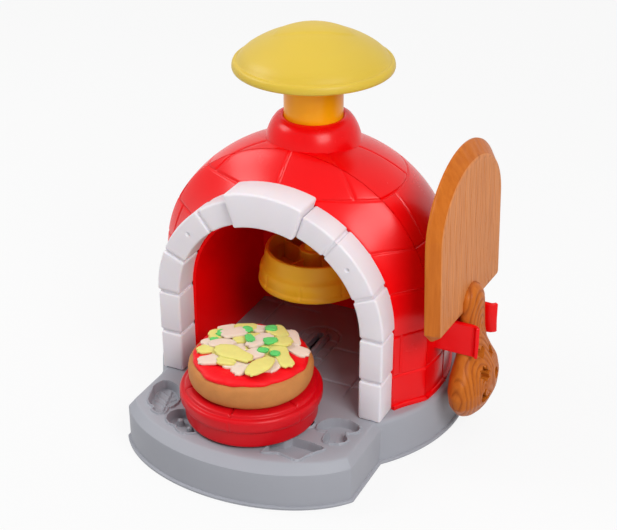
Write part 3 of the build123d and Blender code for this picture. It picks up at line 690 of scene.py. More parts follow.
def base_piece():
    """Grey base: skirt with its apron, deck with moulds and slot, hollow underneath."""
    points = [p for row in SKIRT for p in base_loop(*row)]
    faces = grid_faces(len(SKIRT), BASE_COUNT, closed=True)
    rim = np.array(points[-BASE_COUNT:])[:, :2]
    hole = slot_loop(SLOT_HALF)
    xy, tris = filled((rim, hole), deck_cloud(rim, hole))
    centres = np.array([xy[list(t)].mean(0) for t in tris])
    tris = [tuple(t) for t, ok in zip(tris, signed_distance(centres, hole) > 0) if ok]
    edge = np.abs(signed_distance(xy, rim)) < 0.01
    top = np.where(edge, DECK_Z, deck_height(xy))
    under = np.where(top < DECK_Z - 1.05, top, DECK_Z) - DECK_THICK
    first = len(points)
    second = first + len(xy)
    points += [(x, y, z) for level in (top, under) for (x, y), z in zip(xy, level)]
    faces += shifted(tris, first) + shifted([t[::-1] for t in tris], second)
    sides = Counter(tuple(sorted(pair)) for t in tris for pair in zip(t, t[1:] + t[:1]))
    faces += [(first + a, first + b, second + b, second + a) for (a, b), times in sides.items()
              if times == 1 and not (edge[a] and edge[b])]
    faces += shifted(grid_faces(len(SKIRT_INSIDE), BASE_COUNT, closed=True), len(points))
    points += [p for row in SKIRT_INSIDE for p in base_loop(*row)]
    last = len(points) - BASE_COUNT
    around = [(i, (i + 1) % BASE_COUNT) for i in range(BASE_COUNT)]
    faces += [(i, j, last + j, last + i) for i, j in around]
    shell = add_mesh("base_body", points, faces, sharp=28)
    ribs = [box_mesh("base_rib", x - 1, x + 1, -92, 92, 8, DECK_Z - DECK_THICK + 0.5) for x in (-22, 22)]
    return joined("base_body", [shell] + ribs)


# ---------------------------------------------------------------- dome

def dome_height(x, y):
    """Height of the dome's face over a point of its plan."""
    return DOME_SPRING_Z + DOME_RISE * math.sqrt(max(0.0, 1 - (x * x + (y - DOME_Y) ** 2) / DOME_R ** 2))


def dome_profile():
    """Points (radius, height) up the dome from the lip to the collar, close together at the brick courses."""
    fine = [(DOME_R + 1.5, DECK_Z), (DOME_R + 1.5, DECK_Z + 2.4), (DOME_R + 1.2, DECK_Z + 2.9),
            (DOME_R + 0.05, DECK_Z + 3.1), (DOME_R, DECK_Z + 3.6), (DOME_R, DOME_SPRING_Z)]
    for k in range(1, 400):
        a = math.pi / 2 * k / 400
        fine.append((DOME_R * math.cos(a), DOME_SPRING_Z + DOME_RISE * math.sin(a)))
    fine = np.array(fine)
    run = np.concatenate([[0], np.cumsum(np.hypot(*np.diff(fine, axis=0).T))])
    stops = run[np.argmax(fine[:, 0] < PROFILE_END_R)]
    courses = np.interp(COURSES_Z, fine[:, 1], run)
    at = np.concatenate([run[:5], places(run[4] + 1.0, stops, 2.0, [(c, 1.0) for c in courses])])
    return np.stack([np.interp(at, run, fine[:, 0]), np.interp(at, run, fine[:, 1])], -1)


def places(low, high, step, lines):
    """Even places between two values, with close ones round each (line, units for a millimetre)."""
    out = list(np.arange(low, high, step)) + [high]
    for at, unit in lines:
        out = [v for v in out if abs(v - at) > 2.2 * unit or v == high]
        out += [at + off * unit for off in SCORE_STEPS if low < at + off * unit < high]
    out.sort()
    return [v for v, following in zip(out, out[1:] + [out[-1] + step]) if following - v > 0.02 * step]


def brick_score(x, y, z, slope):
    """Depth of the scored brick lines at points of the dome. slope is how steeply the wall rises, 0 to 1."""
    depth = np.zeros_like(x)
    for course in COURSES_Z:
        depth = np.maximum(depth, near_line((z - course) / np.maximum(0.25, slope), SCORE_HALF))
    reach = np.hypot(x, y - DOME_Y)
    angle = np.degrees(np.arctan2(y - DOME_Y, x)) + 90
    for low, high, turns in JOINTS:
        band = (z > low - 0.5) & (z < high + 0.5)
        for at in turns:
            turn = (angle - at + 180) % 360 - 180
            depth = np.maximum(depth, near_line(np.radians(turn) * reach, SCORE_HALF) * band)
    return depth * SCORE_DEEP


def scored_shell(name, points, rows, columns):
    """Shell from a grid of outer points: brick lines sunk along its normals, then given its thickness."""
    grid = points.reshape(rows, columns, 3)
    normal = np.cross(np.gradient(grid, axis=1), np.gradient(grid, axis=0))
    normal /= np.maximum(np.linalg.norm(normal, axis=2, keepdims=True), 1e-9)
    normal = normal.reshape(-1, 3)
    normal *= np.sign(((points - (0.0, DOME_Y, 60.0)) * normal).sum(1))[:, None]
    slope = np.sqrt(np.clip(1 - normal[:, 2] ** 2, 0, 1))
    outer = points - normal * brick_score(*points.T, slope)[:, None]
    outer, faces = collar_hole(outer, grid_faces(rows, columns))
    return thickened(add_mesh(name, outer.tolist(), faces, sharp=180), SHELL, -1, 60)


def collar_hole(points, faces):
    """Leaves the press's round hole out of the crown: its edge lies on a circle round the press."""
    reach = np.hypot(points[:, 0], points[:, 1])
    inside = (reach < COLLAR_HOLE_R) & (points[:, 2] > DOME_SPRING_Z)
    if not inside.any():
        return points, faces
    faces = [f for f in faces if not all(inside[i] for i in f)]
    used = sorted({i for f in faces for i in f})
    for i in used:
        if inside[i]:
            x, y = points[i, :2] * COLLAR_HOLE_R / reach[i]
            points[i] = (x, y, dome_height(x, y))
    place_of = {old: new for new, old in enumerate(used)}
    return points[used], [tuple(place_of[i] for i in f) for f in faces]


def rear_dome():
    """Red dome behind the seam, with the press's hole in its crown."""
    profile = dome_profile()
    lines = []
    for low, high, angles in JOINTS:
        middle = min((low + high) / 2, 175.0)
        reach = DOME_R * math.sqrt(1 - (max(0.0, middle - DOME_SPRING_Z) / DOME_RISE) ** 2)
        lines += [(a % 360, math.degrees(1 / reach)) for a in angles]
    side = 80.0
    turns = places(side, 360 - side, 1.5, lines)
    points = []
    for r, z in profile:
        ahead = (DOME_Y - SEAM_Y) / r
        start = math.degrees(math.acos(ahead)) if ahead < 1 else 0.0
        ends = [start + (side - start) * k / 30 for k in range(30)]
        for turn in ends + turns + [360 - v for v in reversed(ends)]:
            angle = math.radians(turn)
            points.append((r * math.sin(angle), DOME_Y - r * math.cos(angle), z))
    return scored_shell("rear_dome", np.array(points), len(profile), len(turns) + 60)


def dome_reach(angle, depth):
    """Distance from the arch's centre to the dome's face, at an angle above the springing."""
    low, high = 0.0, 2 * DOME_R
    for _ in range(34):
        reach = (low + high) / 2
        across = math.hypot(reach * math.cos(angle), depth) / DOME_R
        up = max(0.0, ARCH_Z + reach * math.sin(angle) - DOME_SPRING_Z) / DOME_RISE
        if across ** 2 + up ** 2 < 1:
            low = reach
        else:
            high = reach
    return reach


def front_dome():
    """Red front of the dome, which narrows from the seam to the arch."""
    depths = np.linspace(SEAM_Y - 0.35, ARCH_BACK_Y - 0.2, 41)
    legs = [DECK_Z, DECK_Z + 2.4, DECK_Z + 2.9, DECK_Z + 3.1, DECK_Z + 3.6]
    legs += list(np.arange(DECK_Z + 4.2, ARCH_Z, 0.55))
    points = []
    for y in depths:
        blend = min(1.0, max(0.0, (SEAM_Y - y) / (SEAM_Y - ARCH_BACK_Y))) ** FRONT_CURVE
        depth = y - DOME_Y
        half = (1 - blend) * math.sqrt(DOME_R ** 2 - depth ** 2) + blend * ARCH_OUT
        right = []
        for z in legs:
            lip = 1.5 if z < DECK_Z + 2.5 else (1.2 if z < DECK_Z + 3 else 0.0)
            right.append((half + lip, z))
        for k in range(241):
            angle = math.pi / 2 * k / 240
            reach = (1 - blend) * dome_reach(angle, depth) + blend * ARCH_OUT
            right.append((reach * math.cos(angle), ARCH_Z + reach * math.sin(angle)))
        points += [(x, y, z) for x, z in right] + [(-x, y, z) for x, z in reversed(right[:-1])]
    return scored_shell("front_dome", np.array(points), len(depths), len(points) // len(depths))


# ---------------------------------------------------------------- liner

def liner_piece():
    """Vaulted chamber inside the dome, closed at the back by a curved wall."""
    def back_y(x):
        return LINER_BACK_Y - LINER_BACK_R + math.sqrt(LINER_BACK_R ** 2 - x * x)

    section = [(LINER_IN, z) for z in np.linspace(DECK_Z, ARCH_Z, 12)[:-1]]
    section += [(LINER_IN * math.cos(a), ARCH_Z + LINER_IN * math.sin(a)) for a in np.linspace(0, math.pi, 73)]
    section += [(-LINER_IN, z) for z in np.linspace(ARCH_Z, DECK_Z, 12)[1:]]
    rows, across = 24, 32
    half = (len(section) + 1) // 2
    points = []
    for t in [r / (rows - 1) for r in range(rows)]:
        points += [(x, (1 - t) * ARCH_BACK_Y + t * back_y(x), z) for x, z in section]
    faces = grid_faces(rows, len(section)) + shifted(grid_faces(half, across + 1), len(points))
    for edge, z in section[:half]:
        for x in [edge * (1 - 2 * c / across) for c in range(across + 1)]:
            points.append((x, back_y(x), z))
    return thickened(add_mesh("liner_vault", points, faces), LINER_WALL, 1, 40)


# ---------------------------------------------------------------- arch

def arch_point(r, angle):
    """X and Z of a point at a radius and angle (degrees) about the arch's centre."""
    return r * math.cos(math.radians(angle)), ARCH_Z + r * math.sin(math.radians(angle))


def curved_stone(name, inner, outer, low, high, front, back, gap):
    """Stone between two angles of the vault, less a gap at each end."""
    trim = math.degrees(gap / ((inner + outer) / 2))
    steps = max(3, int((high - low) / 3))
    points = []
    for k in range(steps + 1):
        for r, y in ((inner, front), (outer, front), (outer, back), (inner, back)):
            x, z = arch_point(r, low + trim + (high - low - 2 * trim) * k / steps)
            points.append((x, y, z))
    return add_mesh(name, points, capped_faces(steps + 1, 4))


def dimpled(stone, low, high):
    """Small round dimple in the face of the two stones that have one."""
    for angle in DIMPLE_ANGLES:
        if low < angle < high:
            x, z = arch_point((ARCH_IN + ARCH_OUT) / 2, angle)
            tool = lathe("dimple", [(0, -1.0), (0.9, -0.9), (1.5, -0.45), (1.8, 0.3), (1.8, 2.0), (0, 2.0)], 32)
            there = Matrix.Translation(Vector((x, ARCH_FRONT_Y, z)) * MM)
            tool.data.transform(there @ Matrix.Rotation(math.pi / 2, 4, "X"))
            cut_out(stone, tool)
    return stone


def arch_piece():
    """White arch: rounded stones on a slightly smaller core, with a proud keystone."""
    parts = []
    for side in (-1, 1):
        for low, high, outer in ((DECK_Z, 56.6, 77.2), (58.2, 85.5, 77.5)):
            x0, x1 = sorted((side * ARCH_IN, side * outer))
            stone = box_mesh("leg_stone", x0, x1, ARCH_FRONT_Y + 0.1, ARCH_BACK_Y + 1.5, low, high)
            parts.append(bevelled(stone, 1.5, 4))
    for low, high in ((0, 23), (23, 53), (53, 72), (108, 127), (127, 157), (157, 180)):
        stone = curved_stone("arch_stone", ARCH_IN, ARCH_OUT, low, high, ARCH_FRONT_Y, ARCH_BACK_Y + 1.5, 0.85)
        parts.append(dimpled(bevelled(stone, 1.5, 4), low, high))
    low, high = 90 - KEY_HALF_ANGLE, 90 + KEY_HALF_ANGLE
    key = curved_stone("key_stone", KEY_IN, KEY_OUT, low, high, KEY_FRONT_Y, ARCH_BACK_Y, 0.0)
    parts.append(bevelled(key, 1.6, 4))
    inner, outer = ARCH_IN + CORE_INSET, ARCH_OUT - CORE_INSET - 0.5
    front, back = ARCH_FRONT_Y + CORE_INSET, ARCH_BACK_Y + 1.4
    section = ((inner, front), (outer, front), (outer, back), (inner, back))
    angles = np.linspace(0, math.pi, 61)
    points = [(r, y, DECK_Z + 0.2) for r, y in section]
    points += [(r * math.cos(a), y, ARCH_Z + r * math.sin(a)) for a in angles for r, y in section]
    points += [(-r, y, DECK_Z + 0.2) for r, y in section]
    parts.append(add_mesh("arch_core", points, capped_faces(len(angles) + 2, 4)))
    return joined("arch_stones", parts)


# ---------------------------------------------------------------- press

def knob_piece():
    """Yellow mushroom knob: a plain raised oval on top, a crease and a bead round its rim, hollow below."""
    top = KNOB_TOP_Z - BADGE_H
    slope = ((0.0, 0.0), (4.0, 0.12), (8.0, 0.5), (12.0, 1.15), (16.0, 2.2), (20.0, 3.6), (24.0, 5.4),
             (28.0, 7.3), (32.0, 9.0), (36.0, 11.2), (39.0, 13.0), (42.0, 15.1))
    reach, drop = zip(*slope)
    crown = [(r, float(np.interp(r, reach, drop))) for r in np.arange(0.0, 42.1, 0.75)]
    for _ in range(6):
        middle = [(b[0], (a[1] + 2 * b[1] + c[1]) / 4) for a, b, c in zip(crown, crown[1:], crown[2:])]
        crown = [crown[0]] + middle + [crown[-1]]
    crown += [(44.0, 16.9), (45.4, 18.6), (46.3, 20.0), (46.9, 20.6), (47.6, 20.5), (48.4, 20.55), (49.1, 21.2),
              (49.6, 22.2), (49.9, 23.6), (49.9, 24.6), (49.6, 25.5), (49.1, 25.9)]
    under = [(47.8, 25.9), (47.2, 23.8), (42.0, 18.0), (34.0, 12.7), (24.0, 7.6), (12.0, 3.3), (0.0, 2.1)]

    def badge(angle, r, z):
        if z > top - 8:
            turn = angle - math.radians(BADGE_TURN)
            along, across = r * math.cos(turn) / BADGE_HALF[0], r * math.sin(turn) / BADGE_HALF[1]
            edge = (1 - math.hypot(along, across)) * BADGE_HALF[1]
            z += BADGE_H * float(soft_step(edge, -0.7, 0.7))
        return r, z

    return lathe("knob_cap", below(top, crown + under), 300, shape=badge, sharp=60)


def stem_piece():
    """Plunger tube under the knob, with its flange and rod."""
    outline = rounded([(0, 239, 0), (29, 239, 0.8), (29, 236.5, 0.8), (18.5, 236.5, 1.2), (18.5, 187, 0.6),
                       (16, 187, 0.4), (16, 236, 0), (6, 236, 0), (6, 87, 0), (0, 87, 0)])
    return lathe("plunger", outline, 160)


def collar_piece():
    """Red collar on the crown: a fat ring, rounded over at the top, that sits down on the dome."""
    outline = below(COLLAR_TOP_Z, (
        (18.6, 0.9), (19.0, 0.3), (19.7, 0), (20.8, 0.05), (22.3, 0.45), (24.3, 1.8), (26.3, 4.6), (28.2, 8.4),
        (29.6, 12.6), (30.5, 16.8), (30.95, 20.5), (31.0, 23.0), (31.0, 28.0), (27.0, 28.0), (23.4, 27.0)))
    outline += [(23.4, COLLAR_LOW_Z), (18.6, COLLAR_LOW_Z)]

    def seat(angle, r, z):
        if r > 26 and z < COLLAR_TOP_Z - 26:
            z = dome_height(r * math.cos(angle), r * math.sin(angle)) - 0.7
        return r, z

    return lathe("collar", outline, 200, shape=seat)


def press_head_piece():
    """Orange press head: an open cup with a bulged lower band, a stepped waist and ribs inside."""
    outline = rounded([(9, 81, 0), (26.5, 81, 0), (27, 80.6, 0.3), (35.8, 80.5, 0.6), (36.2, 81.5, 0.6),
                       (36.1, 83.6, 0.6), (35.3, 84.6, 0.8), (35.5, 88.5, 3), (34.7, 92.2, 1.0),
                       (33.3, 93.6, 1.0), (32.5, 95.2, 0.8), (31.5, 102.6, 0.6), (31.0, 104, 0.5),
                       (28.8, 104, 0.5), (29.8, 95, 1.0), (32.4, 88, 2.0), (32.0, 84, 1.0), (9, 84, 0)], 5)
    tube = rounded([(6.05, 82, 0), (9.2, 82, 0), (9.2, 103, 0.6), (6.05, 103, 0.4)])

    def notch(angle, r, z):
        if 83 < z < 92 and r > 33:
            turn = (math.degrees(angle) + 11) % 45 - 22.5
            r -= 0.55 * math.exp(-(math.radians(turn) * r / 0.8) ** 2)
        return r, z

    parts = [lathe("head_cup", outline, 360, shape=notch), lathe("head_socket", tube, 64)]
    for index in range(4):
        rib = bevelled(box_mesh("head_rib", 9.0, 30.4, -0.7, 0.7, 83.5, 97.0), 0.3, 2)
        rib.data.transform(Matrix.Rotation(math.radians(-115 + 90 * index), 4, "Z"))
        parts.append(rib)
    return joined("press_cup", parts)


def spring_piece():
    """The press spring's coil, copied from its CAD mesh; the real spring shortens as the press goes down."""
    coil = bpy.data.objects.new("coil_spring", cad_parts["press_spring"].data.copy())
    bpy.context.scene.collection.objects.link(coil)
    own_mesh(coil)
    return coil


# ---------------------------------------------------------------- tray and pizza

def tray_score(angle, r, z):
    """Radial brick joints in the tray's raised ring and, above every one, a fine joint down its band."""
    turn = (math.degrees(angle) + 80.5 + 30) % 60 - 30
    across = math.radians(turn) * r
    if z > 51.6 and r > 30:
        z -= 1.3 * math.exp(-(across / 0.75) ** 2) * min(1.0, (r - 30) / 4)
    if 43.0 < z < 50.6 and r > 42:
        r -= 0.45 * math.exp(-(across / 0.6) ** 2)
    return r, z


def tray_piece():
    """Red tray top: a raised disc with a step round it, over a bulged band."""
    outline = rounded([(0, 54.0, 0), (34.0, 54.0, 0), (38.0, 53.9, 0.6), (40.3, 53.3, 0.9), (40.8, 51.6, 0.5),
                       (41.6, 51.3, 0.5), (43.0, 51.2, 0.8), (44.1, 49.9, 1.2), (44.2, 47.5, 1.5),
                       (44.0, 44.4, 1.5), (43.0, 42.5, 1.0), (41.5, 42.0, 0.5), (41.45, 41.2, 0),
                       (38.4, 41.2, 0), (38.4, 51.0, 0), (0, 51.0, 0)], 5)
    return lathe("tray_top", outline, 480, TRAY_Y, tray_score)


def tray_foot_piece():
    """Narrower foot under the tray's band, closed below."""
    outline = rounded([(1.8, 33.5, 0), (38.4, 33.5, 0), (38.4, 41.2, 0), (41.45, 41.2, 0), (41.1, 32.2, 0.8),
                       (40.4, 31.1, 0.6), (1.8, 31.1, 0)], 5)
    return lathe("tray_base", outline, 240, TRAY_Y)


def crust_piece():
    """Thick hand-shaped disc of dough with a rounded side."""
    low = PLATE_TOP_Z + 0.1
    outline = below(CRUST_TOP_Z, (
        (0, 0), (12, 0), (22, 0), (30, 0), (34.0, 0.05), (35.8, 0.4), (37.2, 1.3), (38.2, 3.0), (38.8, 5.3),
        (39.0, 7.8), (38.7, 10.3), (37.9, 12.6), (36.8, 14.4), (35.5, 15.7)))
    outline += [(34.2, low), (20, low), (0, low)]

    def hand(angle, r, z):
        x, y = math.cos(angle), math.sin(angle)
        edge = min(1.0, r / PIZZA_R) ** 6
        r += edge * (0.45 * smooth_noise(1.7 * x, 1.7 * y, z * 0.10, 1.3)
                     + 0.16 * smooth_noise(5.1 * x, 5.1 * y, z * 0.35, 0.4) - 0.45)
        if z > low + 2:
            z += edge * (0.5 * smooth_noise(2.3 * x, 2.3 * y, 0, 4.1) - 0.3)
        rough = math.exp(-((math.degrees(angle) + 30) / 16) ** 2)
        if low + 0.5 < z < low + 5:
            r += rough * 0.5 * smooth_noise(angle * 22, z * 1.1, 0, 2.0)
        return r, z

    return lathe("dough_crust", outline, 260, TRAY_Y, hand, sharp=180)


def sauce_piece():
    """Red dough spread over the crust: a wavy rounded edge, a few folds and a lumpy top."""
    outline = [(r, SAUCE_TOP_Z) for r in (0, 4, 8, 12, 16, 20, 24, 27, 29.5)]
    outline += below(SAUCE_TOP_Z, (
        (31.5, 0.08), (33.0, 0.3), (34.2, 0.8), (34.9, 1.5), (35.1, 2.3), (34.9, 3.1), (34.0, 3.9)))
    outline += [(30.0, CRUST_TOP_Z - 1.2), (0, CRUST_TOP_Z - 1.2)]

    def lumpy(angle, r, z):
        x, y = r * math.cos(angle), r * math.sin(angle)
        edge = (r / 35.0) ** 4
        wave = 0.55 * math.sin(3 * angle + 0.5) + 0.4 * math.cos(7 * angle) + 0.3 * math.sin(13 * angle + 1)
        wave += 0.15 * math.sin(23 * angle + 2)
        r += edge * (wave + 0.35)
        z += edge * 0.12 * math.sin(5 * angle + 1)
        if z > CRUST_TOP_Z - 0.2:
            z += 0.22 * smooth_noise(x * 0.22, y * 0.22, 0, 2.2) + 0.12 * smooth_noise(x * 0.6, y * 0.6, 0, 5.0)
            fold = math.exp(-((r - 31 - 1.2 * math.sin(5 * angle)) / 0.9) ** 2)
            z += 0.35 * fold * max(0.0, math.sin(4 * angle + 2))
        return r, min(z, SAUCE_TOP_Z + 0.1)

    return lathe("dough_sauce", outline, 260, TRAY_Y, lumpy, sharp=180)


# One row for each shred: its colour, place on the pizza, length, width, turn in degrees and layer.
SHREDS = (("yellow", -24.6, -9.3, 12.8, 9.6, 51, 0), ("yellow", -5.8, -10.9, 25.5, 11.0, -8, 2),
          ("yellow", -6.7, -18.4, 10.6, 9.8, 22, 1), ("yellow", 15.3, -16.6, 22.5, 10.8, 79, 2),
          ("yellow", 21.5, 0.4, 23.0, 9.6, -44, 1), ("yellow", 13.5, 13.6, 14.0, 10.0, 21, 2),
          ("yellow", 7.4, 23.0, 14.5, 10.5, -24, 2), ("yellow", -14.4, 20.8, 14.0, 8.6, 18, 1),
          ("yellow", -25.1, 7.0, 13.5, 8.6, 41, 1), ("yellow", -7.3, 10.5, 17.0, 11.0, 26, 1),
          ("yellow", -1.0, 2.6, 12.0, 7.0, 23, 0), ("yellow", 8.3, 8.7, 11.0, 8.0, 34, 1),
          ("cream", -17.4, -20.0, 13.4, 10.4, 35, 0), ("cream", -27.2, -1.6, 10.5, 7.8, 63, 0),
          ("cream", -17.0, 10.3, 15.5, 10.5, 46, 2), ("cream", -18.6, -1.8, 16.0, 7.6, 31, 1),
          ("cream", -3.9, 23.8, 11.5, 7.6, 26, 1), ("cream", 1.8, 8.8, 18.5, 9.6, 65, 2),
          ("cream", 17.6, 22.0, 17.0, 8.0, -43, 1), ("cream", 25.3, 12.6, 16.5, 8.8, -14, 0),
          ("cream", 19.6, -9.0, 14.5, 8.6, 89, 0), ("cream", 5.5, -20.9, 12.5, 9.5, 57, 0),
          ("cream", 4.6, -4.6, 13.0, 9.0, 60, 1), ("cream", -1.8, -18.2, 13.0, 8.4, 12, 0),
          ("cream", -24.5, 16.6, 12.5, 8.2, 37, 0), ("cream", -9.0, 0.5, 14.0, 9.0, -35, 0),
          ("yellow", 12.5, 2.0, 14.0, 9.0, 5, 0), ("cream", 0.5, 16.0, 14.0, 9.0, -10, 0),
          ("yellow", -14.0, -8.0, 13.0, 9.0, 70, 0), ("cream", 10.0, 27.0, 11.0, 7.0, -5, 0))
# One row for each herb: its place on the pizza, size and layer.
HERBS = ((-23.0, 7.2, 2.9, 1), (-25.4, 0.5, 2.1, 0), (-11.6, 17.5, 2.6, 1), (-4.3, 7.1, 3.1, 2),
         (2.4, 23.0, 2.8, 2), (8.9, 9.7, 3.4, 2), (8.6, -0.1, 2.6, 1), (16.9, -0.3, 2.3, 1))


def shred(at, long, wide, thick, turn, tilt, seed):
    """One flat shred of dough: a rounded slab with a soft edge, a little bent and ragged at one end."""
    columns = 44
    rings = ((0.0, 1.0), (0.5, 1.0), (0.84, 0.98), (0.95, 0.82), (0.995, 0.45), (1.0, -0.2), (0.98, -0.7),
             (0.92, -0.95), (0.75, -1.0), (0.4, -1.0), (0.0, -1.0))
    spin = Euler((tilt[0], tilt[1], math.radians(turn))).to_matrix()
    bend = 0.05 * math.sin(seed * 2.7)
    points = []
    for share, level in rings:
        for c in range(columns):
            u = TAU * c / columns
            cx, cy = math.cos(u), math.sin(u)
            x = long / 2 * math.copysign(abs(cx) ** 0.62, cx)
            y = wide / 2 * math.copysign(abs(cy) ** 0.68, cy)
            y *= 1 + 0.16 * math.sin(x * 0.30 + seed * 1.9) - 0.10 * (x / long)
            rag = abs(cx) ** 3 * (0.6 * math.sin(u * 11 + seed) + 0.4 * math.sin(u * 17 + seed * 2))
            x, y = (x + rag) * share, y * share
            x += 0.12 * share * smooth_noise(x * 0.5, y * 0.5, 0, seed)
            z = thick / 2 * level + bend * (x * x / long - long / 16)
            z += 0.10 * smooth_noise(x * 0.35, y * 0.45, level, seed + 1)
            p = spin @ Vector((x, y, z))
            points.append((p.x + at[0], p.y + at[1], p.z + at[2]))
    return points, grid_faces(len(rings), columns, closed=True)


def toppings():
    """Shreds of cheese, cream and herbs heaped on the sauce."""
    draw = random.Random(11)
    heaps = {"yellow": ([], []), "cream": ([], []), "green": ([], [])}
    pieces = []
    for colour, x, y, long, wide, turn, layer in SHREDS:
        high = SAUCE_TOP_Z + SHRED_H / 2 - 0.1 + layer * LAYER_H
        tilt = (draw.uniform(-0.07, 0.07), draw.uniform(-0.05, 0.05))
        pieces.append((colour, (x, TRAY_Y + y, high), 1.05 * long, 1.06 * wide, SHRED_H, turn, tilt))
    for x, y, radius, layer in HERBS:
        high = SAUCE_TOP_Z + SHRED_H + 0.35 + layer * LAYER_H
        turn = draw.uniform(0, 180)
        pieces.append(("green", (x, TRAY_Y + y, high), 2.5 * radius, 2.0 * radius, 1.5, turn, (0.0, 0.0)))
    for index, (colour, at, long, wide, thick, turn, tilt) in enumerate(pieces):
        verts, faces = heaps[colour]
        bit, quads = shred(at, long, wide, thick, turn, tilt, index * 1.37)
        faces += shifted(quads, len(verts))
        verts += bit
    return {colour: add_mesh("dough_bits_" + colour, *heap, sharp=180) for colour, heap in heaps.items()}


# ---------------------------------------------------------------- peel and clip

def peel_matrix():
    """Where the peel's flat drawing sits on the oven."""
    lean = Matrix.Rotation(math.radians(PEEL_LEAN), 4, "Y")
    yaw = Matrix.Rotation(math.radians(PEEL_YAW), 4, "Z")
    return Matrix.Translation(Vector(PEEL_AT) * MM) @ lean @ yaw


def blade_loop(grow, count=60):
    """Outline of the blade in (y, z), grown outwards."""
    half = 46.5 + grow
    low = -grow * 0.65
    cut = max(1.2, 9.0 * grow / 7.5)
    rise = 38.4 + 1.25 * grow
    turns = [math.pi * k / count for k in range(count + 1)]
    out = [(half, z) for z in np.linspace(low + cut, 58.0, 20)[:-1]]
    out += [(half * math.cos(a), 58.0 + rise * math.sin(a)) for a in turns]
    out += [(-half, z) for z in np.linspace(58.0, low + cut, 20)[1:]]
    out += [(-half + cut * k / 4, low + cut - cut * k / 4) for k in range(1, 5)]
    out += [(-half + cut + (2 * half - 2 * cut) * k / 24, low) for k in range(1, 24)]
    return out + [(half - cut + cut * k / 4, low + cut * k / 4) for k in range(4)]


def gouge(y, z):
    """Depth of the tool marks carved across the blade's bevel, close together round its top."""
    round_top = math.degrees(math.atan2(z - 40.0, y))
    wave = (round_top + 3.0 * math.sin(round_top * 0.11)) / 6.5
    step = wave - math.floor(wave)
    return 0.75 * step ** 2 * float(soft_step(np.array(z), 20.0, 62.0))


def blade_part():
    """Blade of the peel: grained face, wide bevel and hollow back."""
    layers = [(7.5, -7.6), (7.5, -6.6), (7.1, -6.0), (5.6, -4.7), (3.6, -3.0), (1.8, -1.5), (0.5, -0.35),
              (-0.3, -0.02), (-1.4, 0.0)]
    inner = [(6.0, -7.6), (5.2, -5.4), (-1.0, -2.6)]
    points = []
    for grow, x in layers:
        points += [(x - (gouge(y, z) if 1.0 < grow < 6.5 else 0.0), y, z) for y, z in blade_loop(grow)]
    rim = np.array(blade_loop(layers[-1][0]))
    count = len(rim)
    faces = grid_faces(len(layers), count, closed=True)
    cloud = lattice(np.arange(-45.5, 45.6, 0.55), np.arange(1.0, 97.0, 2.2))
    yz, tris = filled((rim,), cloud[signed_distance(cloud, rim) < -0.5])
    grain = blade_grain(yz[:, 0], yz[:, 1]) * soft_step(-signed_distance(yz, rim), 0.3, 2.0)
    faces += shifted(tris, len(points))
    points += [(-g, y, z) for (y, z), g in zip(yz, grain)]
    base = len(points)
    points += [(x, y, z) for grow, x in inner for y, z in blade_loop(grow)]
    faces += shifted(grid_faces(len(inner), count, closed=True), base)
    faces += [(i, (i + 1) % count, base + (i + 1) % count, base + i) for i in range(count)]
    faces.append(tuple(range(len(points) - count, len(points))))
    blade = add_mesh("peel_blade", points, faces, sharp=38)
    place_of = np.array([v.co[:] for v in blade.data.vertices]) / MM
    store_grain(blade, blade_grain(place_of[:, 1], place_of[:, 2]) / GRAIN_DEEP * (place_of[:, 0] > -0.8))
    return blade


def store_grain(obj, depth):
    """Keeps how deep the grain is at each point, for the material."""
    layer = obj.data.attributes.new("grain", "FLOAT", "POINT")
    layer.data.foreach_set("value", np.array(depth, dtype=np.float32))


def blade_grain(y, z):
    """Depth of the moulded wood grain on the blade's face: long wavy lines that part round a knot."""
    knot = np.array([30.0, 22.0])
    dy, dz = y - knot[0], (z - knot[1]) / 2.3
    reach = np.hypot(dy, dz)
    push = 7.0 * np.sign(dy) * np.exp(-(reach / 10.0) ** 2)
    wave = 1.1 * np.sin(z * 0.055 + 0.06 * y) + 0.6 * np.sin(z * 0.13 + y * 0.21)
    phase = (y + wave - push) / 2.9
    line = np.abs(np.mod(phase, 1.0) - 0.5) * 2
    broken = 0.55 + 0.45 * np.sin(z * 0.09 + np.floor(phase) * 2.4)
    return GRAIN_DEEP * np.clip(1 - line / 0.36, 0, 1) * np.clip(broken, 0, 1)


# Rows of the handle: height, then the X of its axis, its half thickness and its half width.
HANDLE_ROWS = ((-75.5, 2.5, 3.6, 8.5), (-74.0, 2.6, 6.0, 14.0), (-70.0, 3.0, 9.0, 20.6),
               (-62.0, 3.3, 12.2, 27.6), (-53.8, 3.3, 13.0, 29.6), (-45.0, 3.2, 12.0, 27.0),
               (-36.0, 2.6, 9.6, 20.6),
               (-27.0, 1.9, 7.6, 15.4), (-18.0, 1.4, 6.8, 13.2), (-6.0, 1.2, 6.7, 13.0),
               (4.0, 1.0, 6.6, 12.8), (10.0, 0.5, 5.6, 10.6), (13.4, 0.0, 3.6, 6.4), (14.6, -0.6, 1.6, 3.0))
HANDLE_BACK_X = -8.5


